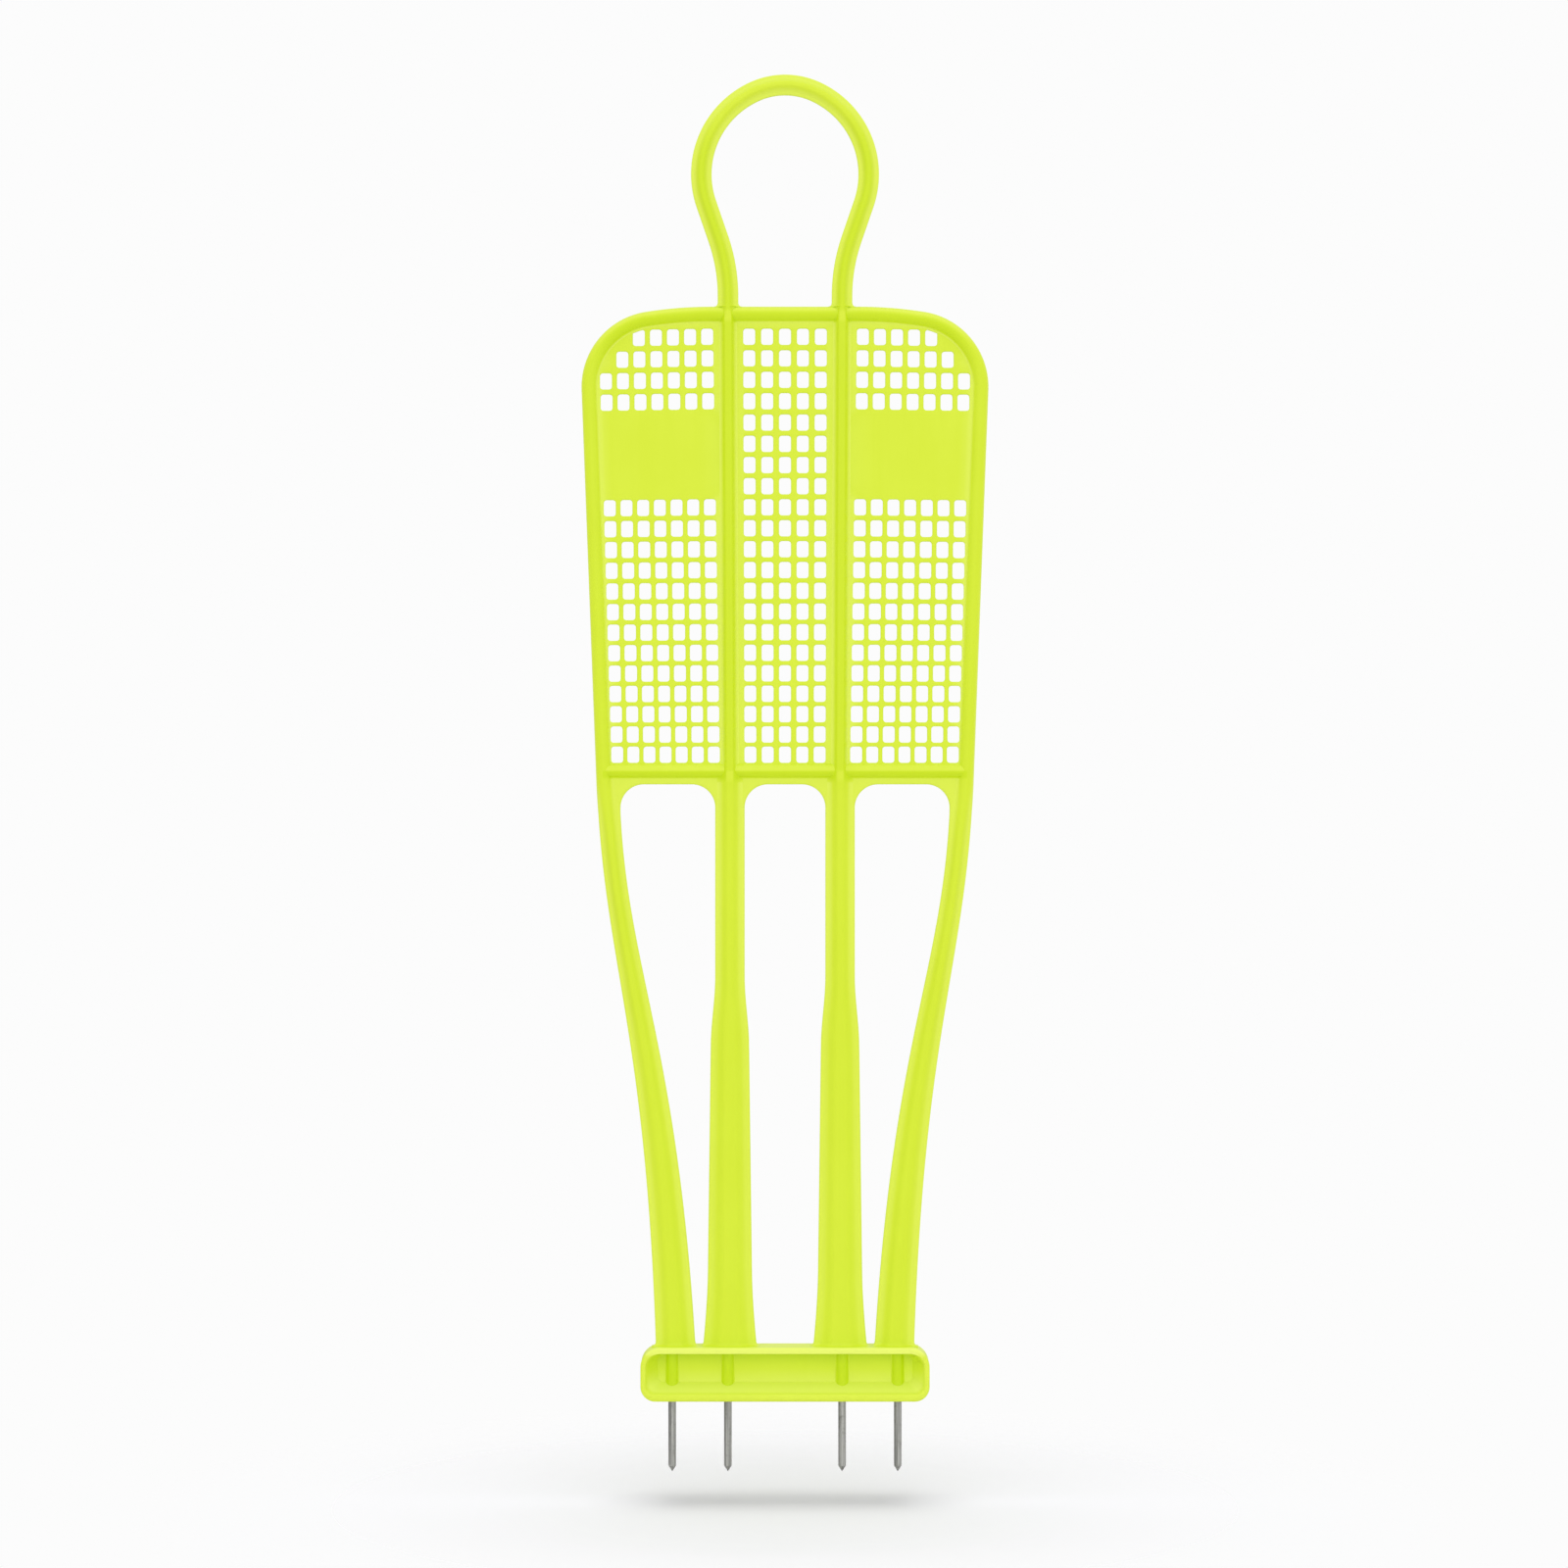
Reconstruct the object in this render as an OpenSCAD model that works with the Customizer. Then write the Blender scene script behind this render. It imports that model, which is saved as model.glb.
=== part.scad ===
// Free kick mannequin: a player-sized lattice torso with a hoop head, four legs,
// a tray base and four steel ground spikes that screw into sockets in the base.
// The plastic body is one moulding; it is drawn here member by member, face to face.
// Frame: origin on the ground line under the middle of the base.
// X runs across with the right-hand side positive, -Y is the front, Z is up.

/* [Heights] */
// Height of the base tray above the ground line
base_h = 69.5; // [60:0.5:90]
// Height of the legs, from the base up to the underside of the waist rail
leg_h = 731; // [640:1:820]
// Height of the torso, from the underside of the waist rail to the top of the shoulders
torso_h = 608.5; // [560:0.5:680]
// Height of the head hoop above the shoulders
head_h = 299; // [285:1:340]

/* [Head hoop] */
// Width of the head hoop over its outer edges
head_w = 242.4; // [224:0.2:260]
// Radius of the crown, along the middle of the bar
crown_r = 95; // [85:1:100]
// Radius of the cheeks, along the middle of the bar
cheek_r = 117; // [112:1:140]
// Angle at which the jaws run inward, from the vertical
jaw_angle = 19; // [16:0.5:22]
// Radius of the sweep from the jaws into the neck, along the middle of the bar
neck_r = 227; // [160:1:260]
// Distance between the middles of the two feet of the hoop
neck_w = 147; // [140:1:156]
// Width of the hoop's bar, across its flanges
hoop_bar_w = 26.6; // [24:0.2:32]
// Width of the raised rib along the middle of the hoop's bar
hoop_rib_w = 12; // [11:0.5:15]

/* [Torso outline] */
// Width of the torso at its widest point, under the shoulders
torso_w = 525; // [490:1:560]
// Width of the torso at the underside of the waist rail
waist_w = 487; // [470:1:500]
// Width of the level middle of the shoulder line
shoulder_flat_w = 190; // [170:1:220]
// Radius of the gentle slope of the shoulder line
shoulder_slope_r = 540; // [400:5:800]
// Radius of the shoulder corner
corner_r = 98; // [80:1:110]
// Diameter of the round bead along the shoulders and sides
rim_d = 20; // [16:0.5:22]
// Diameter of the round bead along the waist
waist_bar_d = 19; // [14:0.5:22]
// Width of a spine, the upright rib on each side of the middle
spine_w = 18; // [16:0.5:22]
// Distance between the middles of the spines at the hips
hip_w = 142; // [138:1:148]

/* [Lattice] */
// Thickness of the lattice wall
web_t = 5; // [3:0.5:8]
// Width of a hole
hole_w = 15.4; // [10:0.2:16]
// Height of a hole
hole_h = 21; // [12:0.5:22]
// Corner radius of a hole
hole_r = 3.8; // [1:0.2:4.5]
// Number of rows of holes
rows = 21; // [15:1:21]
// Number of columns of holes between the spines
middle_columns = 5; // [3:1:5]
// Number of columns of holes on each side
side_columns = 7; // [4:1:7]
// Distance between middle columns at the top row
middle_pitch_top = 23.1; // [18:0.1:23.5]
// Distance between middle columns at the bottom row
middle_pitch_bottom = 22.3; // [18:0.1:23.2]
// Distance from a spine to the first side column at the top row
spine_gap_top = 27; // [20:0.2:30]
// Distance from a spine to the first side column at the bottom row
spine_gap_bottom = 20.6; // [18.5:0.2:26]
// Distance from the outer edge to the last side column at the top row
edge_gap_top = 32.5; // [32:0.5:40]
// Distance from the outer edge to the last side column at the bottom row
edge_gap_bottom = 28.3; // [28:0.1:40]
// Distance from the top of the shoulders to the middle of the top row
top_row_drop = 38.9; // [36:0.1:50]
// Wall left between the bottom row and the waist rail
bottom_row_wall = 0.8; // [0.5:0.1:6]
// How far the outermost column hangs below the innermost at the top row
column_droop = 2.3; // [0:0.1:4]
// How much the rows close up toward the waist
row_crowding = 0.033; // [0:0.001:0.06]
// Number of side rows above the plain chest patch
rows_above_patch = 4; // [2:1:6]
// Number of side rows that the plain chest patch takes up
patch_rows = 4; // [0:1:6]
// Smallest distance from a hole's corner to the middle of the shoulder bead
corner_hole_gap = 3; // [1:0.5:6]

/* [Legs] */
// Front to back depth of the raised ribs on the hoop, spines and legs
rib_d = 26; // [24:0.5:34]
// Thickness of the flanges on the hoop and legs
flange_t = 8; // [6:0.5:12]
// Width of the flange on each side of a leg's rib
leg_flange_w = 9; // [6:0.5:10]
// Height below the waist rail over which the legs start straight
hip_drop = 45; // [40:1:60]
// Depth of the plain band between the waist rail and a leg opening
arch_band = 7.5; // [4:0.5:9]
// Corner radius at the top of a leg opening
arch_r = 30; // [20:1:35]
// Distance between the middles of the outer legs at the hips
outer_leg_hip_span = 452.8; // [448:0.2:458]
// Distance between the middles of the outer legs at the base
outer_leg_foot_span = 282; // [278:0.5:300]
// Width of an outer leg at the hip
outer_leg_hip_w = 28.7; // [27:0.1:32]
// Width of an outer leg at the base
outer_leg_foot_w = 51; // [44:0.5:54]
// Width of an inner leg above the knee
thigh_w = 38; // [34:0.5:44]
// Width of an inner leg just below the knee
knee_w = 49.6; // [44:0.2:54]
// Width of an inner leg at the ankle
ankle_w = 57; // [50:0.5:60]
// Width of an inner leg at the base
inner_leg_foot_w = 69; // [60:0.5:72]

/* [Base] */
// Width of the base
base_w = 371.6; // [360:0.2:420]
// Front to back depth of the base
base_d = 50; // [42:1:70]
// Radius of the upper corners of the base, seen from the front
base_top_r = 25; // [10:1:28]
// Radius of the lower corners of the base, seen from the front
base_bottom_r = 19; // [10:1:28]
// Thickness of the upright wall in the middle of the base
base_web_t = 6; // [4:0.5:10]
// Thickness of the top flange of the base
base_top_t = 8; // [5:0.5:12]
// Thickness of the bottom flange of the base
base_bottom_t = 10; // [6:0.5:14]
// Thickness of the end walls of the base
base_end_t = 7; // [5:0.5:12]
// Diameter of the boss round each spike socket
boss_d = 17; // [15:0.5:22]

/* [Spikes] */
// Distance between the middles of the inner pair of spikes
inner_spike_span = 147.2; // [130:0.2:160]
// Distance between the middles of the outer pair of spikes
outer_spike_span = 290.8; // [280:0.2:310]
// Diameter of a spike
spike_d = 10; // [9:0.5:11.5]
// Length of a spike below the base, with its point
spike_l = 92; // [70:1:140]
// Length of the point
spike_tip_l = 7; // [5:0.5:20]
// Diameter of the blunt end of the point
spike_tip_d = 2.4; // [1:0.1:4]
// Outside diameter of the threaded stud on a spike
stud_d = 8; // [5:0.5:8]
// Length of the stud
stud_l = 38; // [20:1:42]
// Gap all round between the stud and its socket
stud_clearance = 0.05; // [0.03:0.01:0.1]
// Space left above the stud in its socket
stud_end_gap = 2; // [1:0.5:5]
// Outside diameter of a socket
socket_d = 12; // [11:0.5:14]

/* [Hidden] */

$fn = 48;
plastic = [0.83, 0.95, 0.22];
steel = [0.62, 0.62, 0.60];
brass = [0.78, 0.63, 0.30];

// Levels above the ground line
waist_z = base_h + leg_h;
torso_top = waist_z + torso_h;
crown_z = torso_top + head_h;

// Strip of wall that each bead carries past its round, where the lattice joins it
bead_land = 0.25;
rim_r = rim_d / 2;
rim_inset = rim_d + bead_land;
waist_bar_z = waist_z + bead_land + waist_bar_d / 2;
lattice_bottom = waist_z + waist_bar_d + 2 * bead_land;
lattice_top = torso_top - rim_inset;

// Rounding of ribs and flange edges
rib_round = 4;
flange_round = 2;

// Shoulder corner and the sloped side line below it
corner_x = torso_w / 2 - corner_r;
shoulder_angle = asin((corner_x - shoulder_flat_w / 2) / (shoulder_slope_r - corner_r));
corner_z = torso_top - shoulder_slope_r + (shoulder_slope_r - corner_r) * cos(shoulder_angle);
waist_dx = waist_w / 2 - corner_x;
waist_dz = corner_z - waist_z;
side_taper = atan2(waist_dz, waist_dx) - acos(corner_r / norm([waist_dx, waist_dz]));

// Head hoop: crown, cheeks, straight jaws and a reverse sweep into the neck
hoop_half_w = (head_w - hoop_bar_w) / 2;
neck_x = neck_w / 2;
crown_c = [0, crown_z - hoop_bar_w / 2 - crown_r];
cheek_c = [
    hoop_half_w - cheek_r,
    crown_c.y - sqrt(pow(cheek_r - crown_r, 2) - pow(cheek_r - hoop_half_w, 2))
];
crown_angle = atan2(crown_c.y - cheek_c.y, crown_c.x - cheek_c.x);
jaw_start = cheek_c + cheek_r * [cos(jaw_angle), -sin(jaw_angle)];
jaw_l = (jaw_start.x - neck_r * (1 - cos(jaw_angle)) - neck_x) / sin(jaw_angle);
jaw_end = jaw_start - jaw_l * [sin(jaw_angle), cos(jaw_angle)];
neck_c = jaw_end + neck_r * [cos(jaw_angle), -sin(jaw_angle)];

// Legs, measured in shares of their height below the waist rail
hip_x = hip_w / 2;
hip_z = waist_z - hip_drop;
thigh_level = 0.2;
knee_start = 0.35;
knee_end = 0.473;
calf_levels = [0.6, 0.74];
ankle_level = 0.874;
foot_flare = 1.5;
hip_reach = 0.30;
foot_reach = 0.57;
hip_lean = 0.0585;
foot_lean = 0.0457;
outer_leg_slim = 2.8;
outer_leg_calf = 11.1;
outer_leg_rings = 16;

// Steps in the bent bars
rim_sides = 20;
slope_steps = 3;
corner_steps = 14;

socket_l = stud_l + stud_end_gap;
spike_x = [-outer_spike_span / 2, -inner_spike_span / 2, inner_spike_span / 2, outer_spike_span / 2];

function mix(a, b, t) = a + (b - a) * t;
function smooth(t) = let(s = min(1, max(0, t))) s * s * (3 - 2 * s);
function bezier(a, b, c, d, t) =
    a * pow(1 - t, 3) + 3 * b * t * pow(1 - t, 2) + 3 * c * t * t * (1 - t) + d * pow(t, 3);
function arc(centre, r, from, to, steps) =
    [for (i = [0:steps]) let(a = mix(from, to, i / steps)) centre + r * [cos(a), sin(a)]];

// Middle of a spine at a level, on the right-hand side
function spine_x_at(z) = mix(hip_x, neck_x, (z - waist_z) / (lattice_top - waist_z));
function spine_edge(z, side) = spine_x_at(z) + side * spine_w / 2;

// Sloped side line of the torso at a level, moved inward by an inset
function side_line_x(z, inset) =
    let(r = corner_r - inset)
    corner_x + r * cos(side_taper) - (corner_z - r * sin(side_taper) - z) * tan(side_taper);

// Outline of a ribbed bar: flanges with rounded edges and a raised rib on both faces
function rib_quarter(half_w, rib_w) = concat(
    [[half_w, flange_t / 2 - flange_round], [half_w - flange_round, flange_t / 2]],
    [[rib_w / 2 + flange_round, flange_t / 2], [rib_w / 2, flange_t / 2 + flange_round]],
    [for (a = [0, 45, 90]) [rib_w / 2 - rib_round * (1 - cos(a)), rib_d / 2 - rib_round * (1 - sin(a))]]
);
function reversed(list) = [for (i = [len(list) - 1:-1:0]) list[i]];
function ribbed_outline(w, rib_w) =
    let(q = rib_quarter(w / 2, rib_w))
    concat(
        q,
        [for (p = reversed(q)) [-p.x, p.y]],
        [for (p = q) [-p.x, -p.y]],
        [for (p = reversed(q)) [p.x, -p.y]]
    );

// Outer leg: middle, width and level at a share of the way from hip to foot
function outer_leg_z(t) =
    let(l = hip_z - base_h) bezier(hip_z, hip_z - hip_reach * l, base_h + foot_reach * l, base_h, t);
function outer_leg_x(t) =
    let(
        l = hip_z - base_h,
        top = outer_leg_hip_span / 2,
        foot = outer_leg_foot_span / 2
    )
    bezier(top, top - hip_lean * hip_reach * l, foot + foot_lean * foot_reach * l, foot, t);
function outer_leg_w(t) = bezier(
    outer_leg_hip_w, outer_leg_hip_w - outer_leg_slim,
    outer_leg_foot_w - outer_leg_calf, outer_leg_foot_w, t
);

// Inner leg: width at a share of the way down from the waist rail
function inner_leg_w(t) =
    t < knee_end ? mix(thigh_w, knee_w, smooth((t - knee_start) / (knee_end - knee_start)))
    : t < ankle_level ? mix(knee_w, ankle_w, (t - knee_end) / (ankle_level - knee_end))
    : mix(ankle_w, inner_leg_foot_w, pow((t - ankle_level) / (1 - ankle_level), foot_flare));
inner_leg_levels = concat(
    [0, hip_drop / leg_h, thigh_level],
    [for (i = [0:4]) mix(knee_start, knee_end, i / 4)],
    calf_levels,
    [for (i = [0:4]) mix(ankle_level, 1, i / 4)]
);

// One ring of a leg: the ribbed outline placed at a level
function leg_ring(x, w, z) =
    [for (p = ribbed_outline(w, w - 2 * leg_flange_w)) [x + p.x, p.y, z]];

// One ring of a bent bar: a section placed at a point, with its X along an outward angle
function path_ring(frame, section) =
    [for (p = section)
        [frame[0].x + p.x * cos(frame[1]), p.y, frame[0].y + p.x * sin(frame[1])]];

// Solid through a row of rings with the same number of points, downward or clockwise from the front
module loft(rings) {
    n = len(rings[0]);
    last = len(rings) - 1;
    polyhedron(
        points = [for (ring = rings) for (p = ring) p],
        faces = concat(
            [[for (i = [n - 1:-1:0]) i]],
            [for (k = [0:last - 1]) for (i = [0:n - 1]) [k * n + i, k * n + (i + 1) % n, (k + 1) * n + i]],
            [for (k = [0:last - 1]) for (i = [0:n - 1])
                [k * n + (i + 1) % n, (k + 1) * n + (i + 1) % n, (k + 1) * n + i]],
            [[for (i = [0:n - 1]) last * n + i]]
        )
    );
}

// Bar from one point of the front view to another; the section's X points to the right of travel
module bar(from, to) {
    run = to - from;
    translate([from.x, 0, from.y])
    rotate([0, atan2(run.x, run.y), 0])
    linear_extrude(norm(run)) children();
}

// Plate drawn in the front view, with its thickness centred on the middle plane
module plate(t) {
    rotate([90, 0, 0]) linear_extrude(t, center = true) children();
}

module both_sides() {
    children();
    mirror([1, 0, 0]) children();
}

// Sections of the members
module hoop_section() polygon(ribbed_outline(hoop_bar_w, hoop_rib_w));
function rim_outline() =
    let(meet = 180 - asin(web_t / rim_d))
    concat(
        [for (i = [0:rim_sides]) let(a = mix(-meet, meet, i / rim_sides)) rim_r * [cos(a), sin(a)]],
        [[rim_r - rim_inset, web_t / 2], [rim_r - rim_inset, -web_t / 2]]
    );
module rim_section() {
    circle(d = rim_d);
    translate([-rim_inset + rim_r, -web_t / 2]) square([rim_inset - rim_r, web_t]);
}
module waist_section() {
    circle(d = waist_bar_d);
    square([waist_bar_d + 2 * bead_land, web_t], center = true);
}
module spine_section() {
    square([spine_w - 2 * rib_round, rib_d], center = true);
    square([spine_w, rib_d - 2 * rib_round], center = true);
    for (x = [-1, 1], y = [-1, 1])
        translate([x * (spine_w / 2 - rib_round), y * (rib_d / 2 - rib_round)]) circle(r = rib_round);
}

// Foot of the hoop, from the neck down through the shoulder rail to the top of the spine
module hoop_foot() bar([neck_x, lattice_top], [neck_x, neck_c.y]) hoop_section();

// Hoop path on the right-hand side, from the foot up to the crown, as points and outward angles
function arc_path(centre, r, from, to, steps, turn = 0) =
    [for (i = [0:steps]) let(a = mix(from, to, i / steps)) [centre + r * [cos(a), sin(a)], a + turn]];
hoop_side = concat(
    [[[neck_x, lattice_top], 0]],
    arc_path(neck_c, neck_r, 180, 180 - jaw_angle, 4, -180),
    arc_path(cheek_c, cheek_r, -jaw_angle, crown_angle, 12),
    [for (f = arc_path(crown_c, crown_r, crown_angle, 90, 5)) if (f[1] > crown_angle) f]
);

module head_hoop() {
    left_half = [for (f = hoop_side) [[-f[0].x, f[0].y], 180 - f[1]]];
    right_half = reversed([for (f = hoop_side) if (f[1] < 90) f]);
    color(plastic) loft([
        for (f = concat(left_half, right_half)) path_ring(f, ribbed_outline(hoop_bar_w, hoop_rib_w))
    ]);
}

// Shoulder bead from the neck outward and round the shoulder corner
module shoulder_rail() {
    slope_c = [shoulder_flat_w / 2, torso_top - shoulder_slope_r];
    slope = arc_path(slope_c, shoulder_slope_r - rim_r, 90, 90 - shoulder_angle, slope_steps);
    corner = arc_path([corner_x, corner_z], corner_r - rim_r, 90 - shoulder_angle, -side_taper, corner_steps);
    path = concat(
        [[[neck_x, torso_top - rim_r], 90]],
        slope,
        [for (i = [1:len(corner) - 1]) corner[i]]
    );
    color(plastic) difference() {
        loft([for (f = path) path_ring(f, rim_outline())]);
        hoop_foot();
    }
}
module left_shoulder_rail() mirror([1, 0, 0]) shoulder_rail();
module right_shoulder_rail() shoulder_rail();

module collar_rail() {
    color(plastic) difference() {
        bar([neck_x, torso_top - rim_r], [-neck_x, torso_top - rim_r]) rim_section();
        both_sides() hoop_foot();
    }
}

// Side bead down the sloped edge of the torso, cut level at the waist
module side_rail() {
    r = corner_r - rim_r;
    top = [corner_x + r * cos(side_taper), corner_z - r * sin(side_taper)];
    overrun = 10;
    low_z = waist_z - overrun;
    color(plastic) difference() {
        bar([side_line_x(low_z, rim_r), low_z], top) rim_section();
        translate([side_line_x(low_z, rim_r) - torso_w / 2, -torso_w / 2, low_z - torso_w])
            cube([torso_w, torso_w, torso_w + overrun]);
    }
}
module left_side_rail() mirror([1, 0, 0]) side_rail();
module right_side_rail() side_rail();

// Upright rib that carries the hoop's foot down to the inner leg
module spine() {
    color(plastic) bar([hip_x, waist_z], [neck_x, lattice_top]) spine_section();
}
module left_spine() mirror([1, 0, 0]) spine();
module right_spine() spine();

module waist_rail() {
    color(plastic) difference() {
        bar([side_line_x(waist_bar_z, rim_r), waist_bar_z], [hip_x, waist_bar_z]) waist_section();
        side_rail();
        spine();
    }
}
module left_waist_rail() mirror([1, 0, 0]) waist_rail();
module right_waist_rail() waist_rail();
module middle_waist_rail() {
    color(plastic) difference() {
        bar([hip_x, waist_bar_z], [-hip_x, waist_bar_z]) waist_section();
        both_sides() spine();
    }
}

// Places of the holes: share of the way down the rows, level, and offset of each column
top_row_z = torso_top - top_row_drop;
bottom_row_z = lattice_bottom + bottom_row_wall + hole_h / 2;
function row_share(row) = let(t = row / (rows - 1)) t + row_crowding * t * (1 - t);
function row_z(row) = mix(top_row_z, bottom_row_z, row_share(row));
function middle_hole(row, column) = [
    (column - (middle_columns - 1) / 2) * mix(middle_pitch_top, middle_pitch_bottom, row_share(row)),
    row_z(row)
];
function side_hole(row, column) =
    let(
        t = row_share(row),
        z = row_z(row),
        first = spine_x_at(z) + mix(spine_gap_top, spine_gap_bottom, t),
        last = side_line_x(z, mix(edge_gap_top, edge_gap_bottom, t)),
        share = column / (side_columns - 1)
    )
    [mix(first, last, share), z - column_droop * share * (1 - t)];
function hole_clears_corner(p) =
    let(far = p + [hole_w, hole_h] / 2)
    min(far.x - corner_x, far.y - corner_z) < 0
    || norm(far - [corner_x, corner_z]) < corner_r - rim_r - corner_hole_gap;
function in_patch(row) = row >= rows_above_patch && row < rows_above_patch + patch_rows;

hole_outline = [for (corner = [0:3]) for (a = [0, 45, 90])
    let(
        turn = corner * 90 + a,
        sx = corner == 0 || corner == 3 ? 1 : -1,
        sy = corner < 2 ? 1 : -1
    )
    [sx * (hole_w / 2 - hole_r), sy * (hole_h / 2 - hole_r)] + hole_r * [cos(turn), sin(turn)]];

module middle_lattice() {
    top = spine_edge(lattice_top, -1);
    bottom = spine_edge(lattice_bottom, -1);
    color(plastic) plate(web_t) difference() {
        polygon([[-bottom, lattice_bottom], [bottom, lattice_bottom], [top, lattice_top], [-top, lattice_top]]);
        for (row = [0:rows - 1], column = [0:middle_columns - 1])
            translate(middle_hole(row, column)) polygon(hole_outline);
    }
}

module side_lattice() {
    slope_c = [shoulder_flat_w / 2, torso_top - shoulder_slope_r];
    outline = concat(
        [[spine_edge(lattice_bottom, 1), lattice_bottom], [spine_edge(lattice_top, 1), lattice_top]],
        arc(slope_c, shoulder_slope_r - rim_inset, 90, 90 - shoulder_angle, slope_steps),
        arc([corner_x, corner_z], corner_r - rim_inset, 90 - shoulder_angle, -side_taper, corner_steps),
        [[side_line_x(lattice_bottom, rim_inset), lattice_bottom]]
    );
    color(plastic) plate(web_t) difference() {
        polygon(outline);
        for (row = [0:rows - 1], column = [0:side_columns - 1]) {
            p = side_hole(row, column);
            if (!in_patch(row) && hole_clears_corner(p))
                translate(p) polygon(hole_outline);
        }
    }
}
module left_lattice() mirror([1, 0, 0]) side_lattice();
module right_lattice() side_lattice();

// Plain band over a leg opening, with a rounded corner down each leg
module hip_arch(left, right) {
    top = waist_z - arch_band;
    color(plastic) plate(flange_t) difference() {
        translate([left, hip_z]) square([right - left, hip_drop]);
        translate([left + arch_r, hip_z - arch_r]) square([right - left - 2 * arch_r, top - hip_z + arch_r]);
        translate([left, hip_z - arch_r]) square([right - left, top - hip_z]);
        for (x = [left + arch_r, right - arch_r]) translate([x, top - arch_r]) circle(r = arch_r);
    }
}
module middle_hip_arch() hip_arch(-hip_x + thigh_w / 2, hip_x - thigh_w / 2);
module right_hip_arch() hip_arch(hip_x + thigh_w / 2, outer_leg_x(0) - outer_leg_w(0) / 2);
module left_hip_arch() mirror([1, 0, 0]) right_hip_arch();

// Outer leg, from the side bead to the base; its inner edge is upright down to the hip
module outer_leg() {
    inner_edge = outer_leg_x(0) - outer_leg_w(0) / 2;
    outer_edge = waist_w / 2;
    color(plastic) loft(concat(
        [leg_ring((inner_edge + outer_edge) / 2, outer_edge - inner_edge, waist_z)],
        [for (i = [0:outer_leg_rings])
            let(t = i / outer_leg_rings)
            leg_ring(outer_leg_x(t), outer_leg_w(t), outer_leg_z(t))]
    ));
}
module left_outer_leg() mirror([1, 0, 0]) outer_leg();
module right_outer_leg() outer_leg();

module inner_leg() {
    color(plastic) loft([for (t = inner_leg_levels) leg_ring(hip_x, inner_leg_w(t), mix(waist_z, base_h, t))]);
}
module left_inner_leg() mirror([1, 0, 0]) inner_leg();
module right_inner_leg() inner_leg();

// Rectangle standing on the X axis, with its own radius for the lower and the upper corners
module round_rect(w, h, low_r, high_r) {
    translate([-w / 2 + low_r, 0]) square([w - 2 * low_r, h / 2]);
    translate([-w / 2 + high_r, h / 2]) square([w - 2 * high_r, h / 2]);
    translate([-w / 2, low_r]) square([w, h - low_r - high_r]);
    for (x = [-1, 1]) {
        translate([x * (w / 2 - low_r), low_r]) circle(r = low_r);
        translate([x * (w / 2 - high_r), h - high_r]) circle(r = high_r);
    }
}

// Corner radius of a pocket in the base, behind a corner of the outline
smallest_pocket_r = 2;
function pocket_corner(r) = max(smallest_pocket_r, r - base_end_t);

// Open tray: a middle wall with flanges all round and a boss round each socket.
// Its top is flat as far out as the outer legs stand.
module base_tray() {
    pocket_w = base_w - 2 * base_end_t;
    pocket_h = base_h - base_top_t - base_bottom_t;
    pocket_d = (base_d - base_web_t) / 2;
    feet_w = outer_leg_foot_span + outer_leg_foot_w;
    color(plastic) difference() {
        union() {
            difference() {
                plate(base_d) {
                    round_rect(base_w, base_h, base_bottom_r, base_top_r);
                    translate([-feet_w / 2, base_h - base_top_t]) square([feet_w, base_top_t]);
                }
                for (side = [-1, 1])
                    translate([0, side * (base_web_t + pocket_d) / 2, base_bottom_t])
                    plate(pocket_d)
                    round_rect(pocket_w, pocket_h, pocket_corner(base_bottom_r), pocket_corner(base_top_r));
            }
            for (x = spike_x)
                translate([x, 0, base_bottom_t / 2])
                cylinder(d = boss_d, h = base_h - (base_top_t + base_bottom_t) / 2);
        }
        for (x = spike_x) translate([x, 0, 0]) cylinder(d = socket_d, h = socket_l);
    }
}

// Threaded socket moulded into a boss, flush with the underside of the base
module socket(x) {
    color(brass) translate([x, 0, 0]) rotate_extrude()
        translate([stud_d / 2 + stud_clearance, 0])
        square([socket_d / 2 - stud_d / 2 - stud_clearance, socket_l]);
}

// Steel spike: threaded stud above a shoulder, a plain shank and a ground point
module spike(x) {
    color(steel) translate([x, 0, 0]) rotate_extrude() polygon([
        [0, -spike_l],
        [spike_tip_d / 2, -spike_l],
        [spike_d / 2, -spike_l + spike_tip_l],
        [spike_d / 2, 0],
        [stud_d / 2, 0],
        [stud_d / 2, stud_l],
        [0, stud_l]
    ]);
}
module left_outer_socket() socket(spike_x[0]);
module left_inner_socket() socket(spike_x[1]);
module right_inner_socket() socket(spike_x[2]);
module right_outer_socket() socket(spike_x[3]);
module left_outer_spike() spike(spike_x[0]);
module left_inner_spike() spike(spike_x[1]);
module right_inner_spike() spike(spike_x[2]);
module right_outer_spike() spike(spike_x[3]);

head_hoop();
left_shoulder_rail();
collar_rail();
right_shoulder_rail();
left_side_rail();
right_side_rail();
left_waist_rail();
middle_waist_rail();
right_waist_rail();
left_spine();
right_spine();
left_lattice();
middle_lattice();
right_lattice();
left_hip_arch();
middle_hip_arch();
right_hip_arch();
left_outer_leg();
left_inner_leg();
right_inner_leg();
right_outer_leg();
base_tray();
left_outer_socket();
left_inner_socket();
right_inner_socket();
right_outer_socket();
left_outer_spike();
left_inner_spike();
right_inner_spike();
right_outer_spike();
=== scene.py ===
import math

import bmesh
import bpy
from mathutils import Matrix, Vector
from mathutils.geometry import delaunay_2d_cdt


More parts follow.
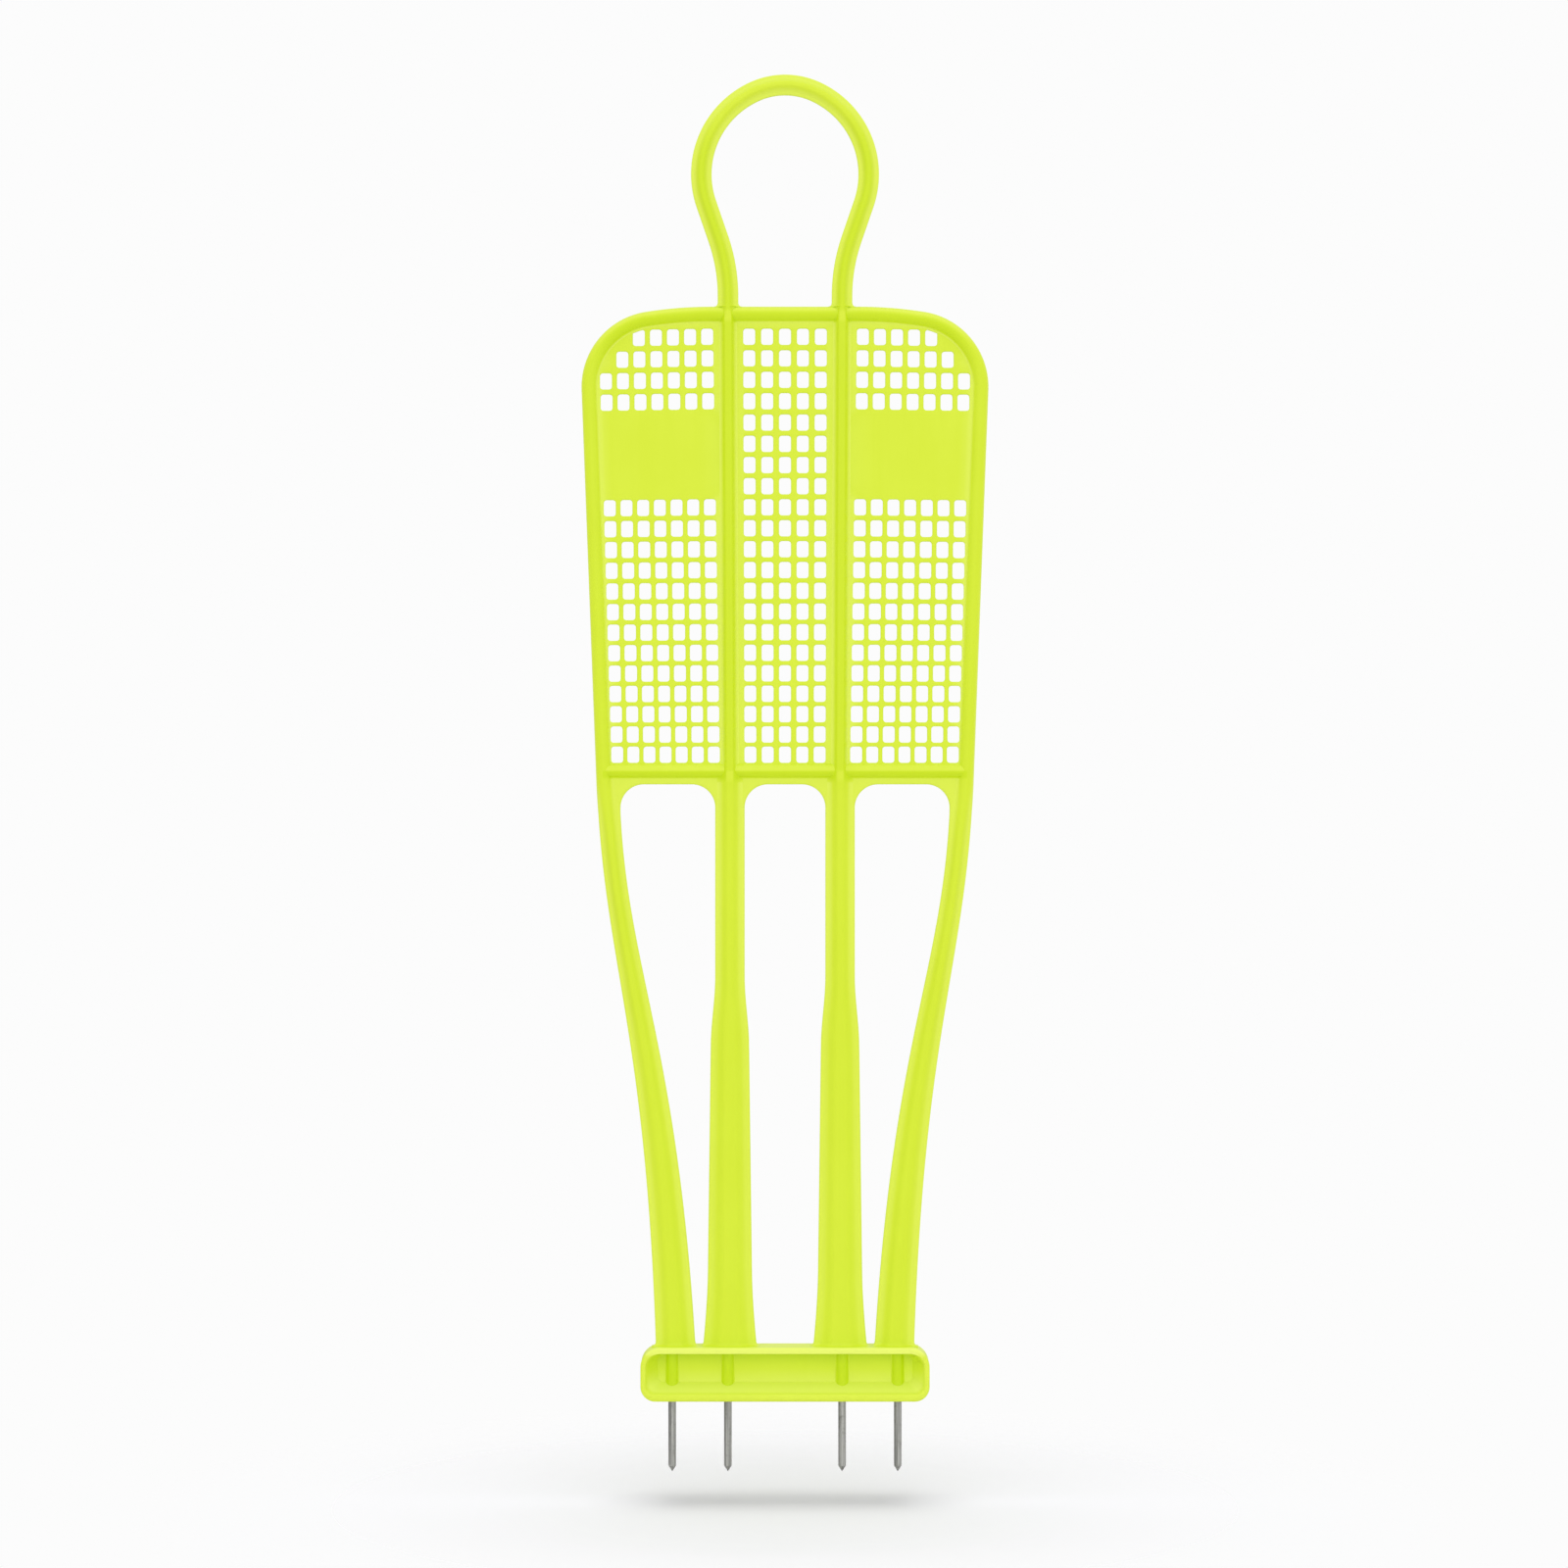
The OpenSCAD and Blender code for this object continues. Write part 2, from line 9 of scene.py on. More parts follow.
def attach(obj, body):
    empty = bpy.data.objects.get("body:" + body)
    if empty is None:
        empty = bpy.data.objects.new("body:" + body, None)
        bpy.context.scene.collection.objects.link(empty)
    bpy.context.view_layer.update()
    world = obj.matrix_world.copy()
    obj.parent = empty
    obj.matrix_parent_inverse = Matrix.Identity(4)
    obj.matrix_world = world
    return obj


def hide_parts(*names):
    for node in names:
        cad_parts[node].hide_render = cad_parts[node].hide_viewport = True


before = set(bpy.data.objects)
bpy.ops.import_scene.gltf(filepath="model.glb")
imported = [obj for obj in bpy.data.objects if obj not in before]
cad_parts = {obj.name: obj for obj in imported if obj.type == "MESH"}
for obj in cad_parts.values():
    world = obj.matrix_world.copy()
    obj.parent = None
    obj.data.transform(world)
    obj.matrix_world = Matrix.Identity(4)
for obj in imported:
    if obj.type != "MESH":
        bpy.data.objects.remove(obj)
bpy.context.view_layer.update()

# Driving sizes in mm and degrees, as in the CAD source
BASE_H, LEG_H, TORSO_H, HEAD_H = 69.5, 731.0, 608.5, 299.0
HEAD_W, CROWN_R, CHEEK_R, JAW, NECK_R, NECK_W = 242.4, 95.0, 117.0, 19.0, 227.0, 147.0
HOOP_W = 26.6
TORSO_W, WAIST_W, FLAT_W, SLOPE_R, CORNER_R = 525.0, 487.0, 190.0, 540.0, 98.0
RIM_D, WAIST_D, HIP_W, LAND = 20.0, 19.0, 142.0, 0.25
WEB_T, HOLE_W, HOLE_H, HOLE_R = 5.0, 15.4, 21.0, 3.8
ROWS, MID_COLS, SIDE_COLS = 21, 5, 7
MID_PITCH = (23.1, 22.3)
SPINE_GAP = (27.0, 20.6)
EDGE_GAP = (32.5, 28.3)
TOP_DROP, BOTTOM_WALL, DROOP, CROWDING = 38.9, 0.8, 2.3, 0.033
PATCH_ROWS = range(4, 8)
CORNER_GAP = 3.0
RIB_D, FLANGE_T = 26.0, 8.0
HIP_DROP, ARCH_BAND, ARCH_R = 45.0, 7.5, 30.0
THIGH_W, KNEE_W, ANKLE_W, FOOT_W = 38.0, 49.6, 57.0, 69.0
OUT_HIP, OUT_FOOT, OUT_HIP_W, OUT_FOOT_W = 452.8, 282.0, 28.7, 51.0
BASE_W, BASE_D, BASE_TOP_R, BASE_LOW_R = 371.6, 50.0, 25.0, 19.0
BASE_WEB, BASE_TOP, BASE_LOW, BASE_END, BOSS_D = 6.0, 8.0, 10.0, 7.0, 17.0
SPIKE_X = {"left_outer": -145.4, "left_inner": -73.6, "right_inner": 73.6, "right_outer": 145.4}
SPIKE_D, SPIKE_L, TIP_L, TIP_D, STUD_D, STUD_L = 10.0, 92.0, 7.0, 2.4, 8.0, 38.0
SOCKET_D, SOCKET_L, BORE_D = 12.0, 40.0, 8.1

# Shape of the legs, as in the CAD source: shares of their height, a power, slopes, and widths in mm
KNEE_START, KNEE_END, ANKLE_LEVEL, FOOT_FLARE = 0.35, 0.473, 0.874, 1.5
HIP_REACH, FOOT_REACH, HIP_LEAN, FOOT_LEAN = 0.30, 0.57, 0.0585, 0.0457
OUT_SLIM, OUT_CALF = 2.8, 11.1

# Soft forms in mm that only the visible surface has
EDGE_R, TOE = 2.6, 0.4
HOOP_FLANK = 9.0
FOOT_R = 5.0
FOOT_STEPS = (0.0, 0.3, 0.8, 1.6, 2.8, FOOT_R)
HOOP_FOOT_STEPS = (0.0, 0.4, 1.2, 2.6, FOOT_R)
LEG_DIP, BOSS_DIP = 4.0, 1.5
FLANK_SHARE, FLANK_NARROW, FLANK_WIDE = 0.86, 14.0, 21.0
SPINE_FOOT_W, SPINE_FLANK, SPINE_EDGE = 25.0, 8.5, 0.3
RIM_PLAY, WALL_PLAY = 0.08, 0.1
RIM_FILLET, SEAM_FILLET, HIP_FILLET = 3.2, 0.6, 7.0
WAIST_FILLET_TOP, WAIST_FILLET_LOW = 0.7, 2.6
HOLE_EDGE, PANEL_SINK = 1.3, 8.0
ARCH_PLAY, ARCH_OVERLAP, ARCH_SINK_INNER, ARCH_SINK_OUTER = 0.04, 0.05, 7.5, 20.0
BOSS_FILLET = 2.4
BOSS_STEPS = (0.0, 0.25, 0.7, 1.4, BOSS_FILLET)
THREAD_PITCH = 1.25

# Levels from the waist, and from the top of the lattice, with the share of the next shape reached there
LEG_TO_SPINE = ((2.5, 0.0), (4, 0.05), (7, 0.35), (9, 0.5), (10.5, 0.65), (12, 0.8), (16, 1.0))
SPINE_TO_HOOP = (
    (0.5, 0.0), (3, 0.05), (6, 0.15), (11, 0.6), (13, 0.75), (14.5, 0.88), (17, 0.97), (19, 1.0),
)

# Places that follow from the driving sizes
WAIST_Z = BASE_H + LEG_H
TORSO_Z = WAIST_Z + TORSO_H
CROWN_Z = TORSO_Z + HEAD_H
RIM_R = RIM_D / 2
WAIST_R = WAIST_D / 2
WAIST_BAR_Z = WAIST_Z + LAND + WAIST_R
LATTICE_LOW = WAIST_Z + WAIST_D + 2 * LAND
LATTICE_TOP = TORSO_Z - RIM_D - LAND
CORNER_X = TORSO_W / 2 - CORNER_R
HIP_X, NECK_X = HIP_W / 2, NECK_W / 2
HIP_Z = WAIST_Z - HIP_DROP
LEG_L = HIP_Z - BASE_H

# Between these heights the flat outer leg turns into the round rim
HIP_BLEND = (WAIST_Z - 95, WAIST_Z + 8)


def mix(a, b, t):
    return a + (b - a) * t


def smooth(t):
    t = min(1.0, max(0.0, t))
    return t * t * (3 - 2 * t)


def rise(value, start, end):
    """0 up to start and 1 from end on, with a soft slope between."""
    return smooth((value - start) / (end - start))


def in_band(z, low, high):
    """1 between two heights, with soft ends."""
    return rise(z, low - 0.5, low + 1.0) * (1 - rise(z, high - 1.0, high + 1.5))


def cosd(a):
    return math.cos(math.radians(a))


def sind(a):
    return math.sin(math.radians(a))


SHOULDER = math.degrees(math.asin((CORNER_X - FLAT_W / 2) / (SLOPE_R - CORNER_R)))
CORNER_Z = TORSO_Z - SLOPE_R + (SLOPE_R - CORNER_R) * cosd(SHOULDER)
_dx, _dz = WAIST_W / 2 - CORNER_X, CORNER_Z - WAIST_Z
TAPER = math.degrees(math.atan2(_dz, _dx) - math.acos(CORNER_R / math.hypot(_dx, _dz)))


def spine_x(z):
    return mix(HIP_X, NECK_X, (z - WAIST_Z) / (LATTICE_TOP - WAIST_Z))


def side_x(z, inset):
    """Side line of the torso at a height, moved inward by an inset."""
    r = CORNER_R - inset
    return CORNER_X + r * cosd(TAPER) - (CORNER_Z - r * sind(TAPER) - z) * math.tan(math.radians(TAPER))


# Mesh helpers
def finish_mesh(name, verts, faces, material, sharp=40, thickness_and_painted_light=None):
    """New piece from mm coordinates: outward normals, smooth shading that keeps flats flat.

    The level function gives a point's level of the plastic's colour: -1 pale, 0 plain,
    1 dark. Pale is painted light, for glow through thin edges and for highlights; dark is
    partly heavy plastic and partly painted shade.
    """
    mesh = bpy.data.meshes.new(name)
    mesh.from_pydata([(x / 1000, y / 1000, z / 1000) for x, y, z in verts], [], faces)
    mesh.validate()
    obj = bpy.data.objects.new(name, mesh)
    bpy.context.scene.collection.objects.link(obj)
    bm = bmesh.new()
    bm.from_mesh(mesh)
    bmesh.ops.remove_doubles(bm, verts=bm.verts, dist=1e-6)
    bmesh.ops.dissolve_degenerate(bm, edges=bm.edges, dist=1e-7)
    bmesh.ops.recalc_face_normals(bm, faces=bm.faces)
    bm.to_mesh(mesh)
    bm.free()
    mesh.shade_smooth()
    mesh.set_sharp_from_angle(angle=math.radians(sharp))
    layer = mesh.attributes.new("thickness_and_painted_light", "FLOAT", "POINT")
    if thickness_and_painted_light:
        for v, item in zip(mesh.vertices, layer.data):
            item.value = thickness_and_painted_light(v.co * 1000)
    mod = obj.modifiers.new("flats", "WEIGHTED_NORMAL")
    mod.keep_sharp = True
    mesh.materials.append(material)
    return obj


def loft(rings, closed=False):
    """Faces through rings that all have the same number of points; ends are capped unless closed."""
    n = len(rings[0])
    verts = [p for ring in rings for p in ring]
    faces = []
    last = len(rings) if closed else len(rings) - 1
    for k in range(last):
        a, b = k * n, ((k + 1) % len(rings)) * n
        for i in range(n):
            j = (i + 1) % n
            faces.append((a + i, a + j, b + j, b + i))
    if not closed:
        faces.append(tuple(range(n - 1, -1, -1)))
        faces.append(tuple((len(rings) - 1) * n + i for i in range(n)))
    return verts, faces


def with_mirror(rings):
    """Rings from the right foot up to the middle, and on down to the left foot."""
    return rings + [[(-x, y, z) for x, y, z in ring] for ring in reversed(rings[:-1])]


def arc_pts(cx, cy, r, a0, a1, n):
    return [(cx + r * cosd(mix(a0, a1, i / n)), cy + r * sind(mix(a0, a1, i / n))) for i in range(n + 1)]


# Steps round the edge of a flange, up the soft flank of a rib, and round a bead's fillet
EDGE_N, FLANK_N, FILLET_N = 4, 13, 5


def rib_quarter(half, toe, top, flange, depth, edge):
    """From the tip of the flange in to the middle of the rib; the flank rises softly from toe to top."""
    pts = arc_pts(half - edge, flange - edge, edge, 0, 90, EDGE_N)
    for i in range(FLANK_N + 1):
        u = i / FLANK_N
        pts.append((mix(toe, top, u), mix(flange, depth, smooth(u))))
    return pts + [(0.0, depth)]


def bead_quarter(r, web, fillet):
    """The same number of points round a bead whose fillet runs into a wall."""
    c = math.sqrt((r + fillet) ** 2 - (web + fillet) ** 2)
    a = math.degrees(math.atan2(web + fillet, c))
    tip = c + 0.35
    pts = [(tip, web - 0.6), (tip, web - 0.3), (tip, web), (tip - 0.1, web), (tip - 0.2, web)]
    pts += arc_pts(c, web + fillet, fillet, 270, 180 + a, FILLET_N)
    pts += arc_pts(0, 0, r, a, 84, FLANK_N - FILLET_N - 1)
    return pts + [(0.0, r)]


def round_quarter(r):
    """The same number of points round a plain bead."""
    n = EDGE_N + FLANK_N + 2
    angles = [90 * (i + 0.5) / (n + 0.5) for i in range(n)]
    return [(r * cosd(a), r * sind(a)) for a in angles] + [(0.0, r)]


def outline(right, left):
    """Closed outline from a right and a left quarter; front and back are alike."""
    top = right + [(-x, y) for x, y in reversed(left[:-1])]
    return top + [(x, -y) for x, y in reversed(top)]


def ribbed(w, flank, flange=FLANGE_T / 2, depth=RIB_D / 2, edge=EDGE_R, grow=0.0):
    """Flat bar of width w with a rib whose soft flanks are each flank wide."""
    toe = w / 2 - edge - TOE
    q = rib_quarter(w / 2 + grow, toe + grow, toe + grow - flank, flange + grow, depth + grow, edge)
    return outline(q, q)


def blend_outline(a, b, t):
    return [(mix(p[0], q[0], t), mix(p[1], q[1], t)) for p, q in zip(a, b)]


def place(section, x, z, angle=0.0):
    """Section put at a point of the front view, with its first axis along an outward angle."""
    return [(x + u * cosd(angle), v, z + u * sind(angle)) for u, v in section]


def foot_grow(dz, r):
    """How far a foot's fillet stands out at a height above what it stands on."""
    return 0.0 if dz >= r else r - math.sqrt(max(0.0, r * r - (r - max(0.0, dz)) ** 2))


# Materials
def srgb(r, g, b):
    def lin(c):
        c /= 255
        return c / 12.92 if c <= 0.04045 else ((c + 0.055) / 1.055) ** 2.4
    return (lin(r), lin(g), lin(b), 1.0)


PLASTIC_CLOUDS = (srgb(217, 236, 52), srgb(219, 238, 57))
# Flow mark tone; a pale colour for painted light (glow through thin edges, highlights on lit tops) and a
# dark one for painted shade and heavy plastic
PLASTIC_FLOW, PLASTIC_PAINTED_LIGHT, PLASTIC_DARK_AND_SHADE = srgb(215, 235, 48), srgb(236, 249, 112), srgb(203, 229, 8)
STEEL_LINES, STEEL_BLOTCH = (srgb(134, 134, 130), srgb(188, 188, 183)), srgb(112, 110, 102)
BRASS_TARNISH = (srgb(214, 180, 102), srgb(190, 150, 78))
BACKDROP = srgb(252, 252, 252)


def new_material(name):
    m = bpy.data.materials.new(name)
    m.use_nodes = True
    nt = m.node_tree
    nt.nodes.clear()
    out = nt.nodes.new("ShaderNodeOutputMaterial")
    bsdf = nt.nodes.new("ShaderNodeBsdfPrincipled")
    nt.links.new(bsdf.outputs["BSDF"], out.inputs["Surface"])
    return m, nt, bsdf


def object_coords(nt):
    return nt.nodes.new("ShaderNodeTexCoord").outputs["Object"]


def stretched(nt, vector, scale):
    n = nt.nodes.new("ShaderNodeMapping")
    n.inputs["Scale"].default_value = scale
    nt.links.new(vector, n.inputs["Vector"])
    return n.outputs["Vector"]


def noise(nt, vector, scale, detail, rough=0.5, distortion=0.0):
    n = nt.nodes.new("ShaderNodeTexNoise")
    n.inputs["Scale"].default_value = scale
    n.inputs["Detail"].default_value = detail
    n.inputs["Roughness"].default_value = rough
    n.inputs["Distortion"].default_value = distortion
    nt.links.new(vector, n.inputs["Vector"])
    return n.outputs["Fac"]


def map_range(nt, value, a, b, c, d):
    """Value from a to b mapped to c to d."""
    n = nt.nodes.new("ShaderNodeMapRange")
    n.inputs["From Min"].default_value = a
    n.inputs["From Max"].default_value = b
    n.inputs["To Min"].default_value = c
    n.inputs["To Max"].default_value = d
    nt.links.new(value, n.inputs["Value"])
    return n.outputs["Result"]


def mix_colour(nt, share, a, b):
    """Mix of two colours, each a fixed one or a socket."""
    n = nt.nodes.new("ShaderNodeMix")
    n.data_type = "RGBA"
    nt.links.new(share, n.inputs[0])
    for socket, value in ((n.inputs[6], a), (n.inputs[7], b)):
        if isinstance(value, tuple):
            socket.default_value = value
        else:
            nt.links.new(value, socket)
    return n.outputs[2]


def bumped(nt, height, strength, distance, normal=None):
    n = nt.nodes.new("ShaderNodeBump")
    n.inputs["Strength"].default_value = strength
    n.inputs["Distance"].default_value = distance
    nt.links.new(height, n.inputs["Height"])
    if normal:
        nt.links.new(normal, n.inputs["Normal"])
    return n.outputs["Normal"]


def plastic_material():
    """Fluorescent yellow-green plastic: soft gloss, fine moulded grain, faint clouds and flow marks."""
    m, nt, bsdf = new_material("moulded_plastic")
    pos = object_coords(nt)
    clouds = noise(nt, pos, 9.0, 3.0, 0.55)
    flow = noise(nt, stretched(nt, pos, (60, 60, 6)), 1.0, 4.0, 0.6, 0.4)
    base = mix_colour(nt, map_range(nt, clouds, 0.35, 0.65, 0.0, 1.0), *PLASTIC_CLOUDS)
    base = mix_colour(nt, map_range(nt, flow, 0.45, 0.75, 0.0, 0.5), base, PLASTIC_FLOW)
    # The level attribute paints light and shade into the colour: pale for painted glow and highlights, dark
    # for painted shade and heavy plastic
    level = nt.nodes.new("ShaderNodeAttribute")
    level.attribute_name = "thickness_and_painted_light"
    base = mix_colour(nt, map_range(nt, level.outputs["Fac"], -1.0, 0.0, 1.0, 0.0), base, PLASTIC_PAINTED_LIGHT)
    base = mix_colour(nt, level.outputs["Fac"], base, PLASTIC_DARK_AND_SHADE)
    nt.links.new(base, bsdf.inputs["Base Color"])
    nt.links.new(map_range(nt, flow, 0.3, 0.7, 0.36, 0.46), bsdf.inputs["Roughness"])
    bsdf.inputs["Specular IOR Level"].default_value = 0.27
    bsdf.inputs["IOR"].default_value = 1.5
    grain = bumped(nt, noise(nt, pos, 1400.0, 3.0, 0.6), 0.03, 0.0002)
    waves = bumped(nt, noise(nt, pos, 45.0, 2.0), 0.12, 0.0012, grain)
    nt.links.new(waves, bsdf.inputs["Normal"])
    return m


def steel_material():
    """Drawn steel rod: fine lines along its length and dull blotches."""
    m, nt, bsdf = new_material("spike_steel")
    pos = object_coords(nt)
    drawn = noise(nt, stretched(nt, pos, (900, 900, 9)), 1.0, 3.0, 0.6)
    blotch = noise(nt, pos, 160.0, 3.0, 0.6)
    base = mix_colour(nt, map_range(nt, drawn, 0.35, 0.65, 0.0, 1.0), *STEEL_LINES)
    base = mix_colour(nt, map_range(nt, blotch, 0.55, 0.75, 0.0, 0.6), base, STEEL_BLOTCH)
    nt.links.new(base, bsdf.inputs["Base Color"])
    bsdf.inputs["Metallic"].default_value = 1.0
    nt.links.new(map_range(nt, drawn, 0.3, 0.7, 0.30, 0.46), bsdf.inputs["Roughness"])
    nt.links.new(bumped(nt, drawn, 0.25, 0.0001), bsdf.inputs["Normal"])
    return m


def brass_material():
    """Brass with a light tarnish."""
    m, nt, bsdf = new_material("socket_brass")
    blotch = noise(nt, object_coords(nt), 300.0, 3.0, 0.6)
    base = mix_colour(nt, map_range(nt, blotch, 0.4, 0.65, 0.0, 1.0), *BRASS_TARNISH)
    nt.links.new(base, bsdf.inputs["Base Color"])
    bsdf.inputs["Metallic"].default_value = 1.0
    nt.links.new(map_range(nt, blotch, 0.3, 0.7, 0.28, 0.42), bsdf.inputs["Roughness"])
    return m


PLASTIC = plastic_material()
STEEL = steel_material()
BRASS = brass_material()

# Level of the painted shade under a bead and where beads cross; a boss's dark colour starts from it
BEAD_SHADE_LEVEL = 0.85


# Uprights and hoop, one sweep from foot to foot
def inner_w(t):
    """Width of an inner leg at a share of the way from the waist to the foot."""
    if t < KNEE_END:
        return mix(THIGH_W, KNEE_W, rise(t, KNEE_START, KNEE_END))
    if t < ANKLE_LEVEL:
        return mix(KNEE_W, ANKLE_W, (t - KNEE_END) / (ANKLE_LEVEL - KNEE_END))
    return mix(ANKLE_W, FOOT_W, ((t - ANKLE_LEVEL) / (1 - ANKLE_LEVEL)) ** FOOT_FLARE)


def leg_flank(w):
    """Width of the soft flank on each side of a leg's rib."""
    wide = (w - THIGH_W) / (FOOT_W - THIGH_W)
    return min(FLANK_SHARE * (w / 2 - EDGE_R - TOE), mix(FLANK_NARROW, FLANK_WIDE, wide))


def leg_section(w, z):
    return ribbed(w, leg_flank(w), grow=foot_grow(z - BASE_H, FOOT_R))


def inner_leg_rings(n=48):
    levels = [BASE_H - LEG_DIP] + [BASE_H + d for d in FOOT_STEPS]
    levels += [mix(BASE_H + FOOT_R, WAIST_Z - 6, (i + 1) / n) for i in range(n)] + [WAIST_Z + 1]
    rings = []
    for z in levels:
        t = (WAIST_Z - max(z, BASE_H)) / LEG_H
        rings.append(place(leg_section(inner_w(max(0.0, t)), z), HIP_X, z))
    return rings


SPINE_SECTION = ribbed(SPINE_FOOT_W, SPINE_FLANK, flange=WEB_T / 2 - RIM_PLAY, edge=SPINE_EDGE)
HOOP_SECTION = ribbed(HOOP_W, HOOP_FLANK)


def hoop_frames(neck_n=10, cheek_n=40, crown_n=14):
    """Places and outward angles along the middle of the hoop's bar, from its right foot to the crown."""
    half = (HEAD_W - HOOP_W) / 2
    crown = (0.0, CROWN_Z - HOOP_W / 2 - CROWN_R)
    cheek_x = half - CHEEK_R
    cheek = (cheek_x, crown[1] - math.sqrt((CHEEK_R - CROWN_R) ** 2 - (CHEEK_R - half) ** 2))
    crown_a = math.degrees(math.atan2(crown[1] - cheek[1], crown[0] - cheek[0]))
    jaw = (cheek[0] + CHEEK_R * cosd(JAW), cheek[1] - CHEEK_R * sind(JAW))
    jaw_l = (jaw[0] - NECK_R * (1 - cosd(JAW)) - NECK_X) / sind(JAW)
    end = (jaw[0] - jaw_l * sind(JAW), jaw[1] - jaw_l * cosd(JAW))
    neck = (end[0] + NECK_R * cosd(JAW), end[1] - NECK_R * sind(JAW))
    frames = []
    for i in range(neck_n + 1):
        a = mix(180, 180 - JAW, i / neck_n)
        frames.append((neck[0] + NECK_R * cosd(a), neck[1] + NECK_R * sind(a), a - 180))
    for i in range(cheek_n + 1):
        a = mix(-JAW, crown_a, i / cheek_n)
        frames.append((cheek[0] + CHEEK_R * cosd(a), cheek[1] + CHEEK_R * sind(a), a))
    for i in range(1, crown_n + 1):
        a = mix(crown_a, 90, i / crown_n)
        frames.append((CROWN_R * cosd(a), crown[1] + CROWN_R * sind(a), a))
    return frames


def build_uprights(spine_n=19):
    rings = inner_leg_rings()
    leg_top = leg_section(THIGH_W, WAIST_Z)
    for d, t in LEG_TO_SPINE:
        z = WAIST_Z + d
        rings.append(place(blend_outline(leg_top, SPINE_SECTION, t), spine_x(z), z))
    spine_low, spine_top = WAIST_Z + LEG_TO_SPINE[-1][0], LATTICE_TOP - 1.5
    for i in range(1, spine_n + 1):
        z = mix(spine_low, spine_top, i / spine_n)
        rings.append(place(SPINE_SECTION, spine_x(z), z))
    for d, t in SPINE_TO_HOOP:
        rings.append(place(blend_outline(SPINE_SECTION, HOOP_SECTION, t), NECK_X, LATTICE_TOP + d))
    for d in HOOP_FOOT_STEPS:
        g = foot_grow(d, FOOT_R)
        section = ribbed(HOOP_W + 2 * g, HOOP_FLANK + g)
        rings.append(place(section, NECK_X, TORSO_Z - 0.3 + d))
    rings += [place(HOOP_SECTION, x, z, a) for x, z, a in hoop_frames()]
    verts, faces = loft(with_mirror(rings))

    def thickness_and_painted_light(co):
        torso = rise(co.z, WAIST_Z - 20, WAIST_Z + 10)
        thigh = rise(co.z, 450, 650)
        # pale flanks are painted light, for glow through the thin flange and to lift the shade in the fold
        # by the rib; the ridge is darker where the plastic is heavy
        flange = -0.4 if co.z > TORSO_Z else mix(mix(-0.2, -0.4, thigh), -0.6, torso)
        ridge = mix(mix(0.25, 0.6, torso), 0.0, rise(co.z, CROWN_Z - 120, CROWN_Z - 30))
        level = mix(flange, ridge, rise(abs(co.y), 4.5, 11.5))
        # painted shade under the crossing beads runs on the flanks up to a narrow ridge, which stays light
        bead = max(in_band(co.z, WAIST_Z, WAIST_BAR_Z), in_band(co.z, TORSO_Z - RIM_D, TORSO_Z - 6))
        aside = abs(abs(co.x) - spine_x(min(co.z, LATTICE_TOP)))
        return mix(level, BEAD_SHADE_LEVEL * rise(aside, 3.8, 5.4), bead)

    return finish_mesh("uprights_and_hoop", verts, faces, PLASTIC, thickness_and_painted_light=thickness_and_painted_light)


# Outer legs and rim, one sweep from foot to foot
def bezier(a, b, c, d, t):
    return a * (1 - t) ** 3 + 3 * b * t * (1 - t) ** 2 + 3 * c * t * t * (1 - t) + d * t ** 3


def outer_z(t):
    return bezier(HIP_Z, HIP_Z - HIP_REACH * LEG_L, BASE_H + FOOT_REACH * LEG_L, BASE_H, t)


def outer_x(t):
    hip, foot = OUT_HIP / 2, OUT_FOOT / 2
    return bezier(hip, hip - HIP_LEAN * HIP_REACH * LEG_L, foot + FOOT_LEAN * FOOT_REACH * LEG_L, foot, t)


def outer_w(t):
    return bezier(OUT_HIP_W, OUT_HIP_W - OUT_SLIM, OUT_FOOT_W - OUT_CALF, OUT_FOOT_W, t)


def outer_t(z):
    """Share of the way down the outer leg at which its centre line is at a height, found by halving."""
    low, high = 0.0, 1.0
    for _ in range(40):
        t = (low + high) / 2
        low, high = (t, high) if outer_z(t) > z else (low, t)
    return (low + high) / 2


def hip_edges(z):
    """Inner and outer edge of the outer leg where it grows out of the rim."""
    if z <= HIP_Z:
        t = outer_t(z)
        return outer_x(t) - outer_w(t) / 2, outer_x(t) + outer_w(t) / 2
    inner, outer = (OUT_HIP - OUT_HIP_W) / 2, (OUT_HIP + OUT_HIP_W) / 2
    if z >= WAIST_Z:
        return inner, side_x(z, 0)
    d = (WAIST_Z - z) / HIP_DROP
    slope = HIP_DROP * math.tan(math.radians(TAPER))
    return inner, WAIST_W / 2 - slope * d - (WAIST_W / 2 - outer - slope) * d * d


def outer_leg_rings(n=44):
    levels = [BASE_H - LEG_DIP] + [BASE_H + d for d in FOOT_STEPS[:-1]]
    rings = [place(leg_section(OUT_FOOT_W, z), OUT_FOOT / 2, z) for z in levels]
    start = outer_t(HIP_BLEND[0])
    for i in range(n, 0, -1):
        t = mix(start, 0.995, i / n)
        z = outer_z(t)
        rings.append(place(leg_section(outer_w(t), max(z, BASE_H + FOOT_R)), outer_x(t), z))
    return rings


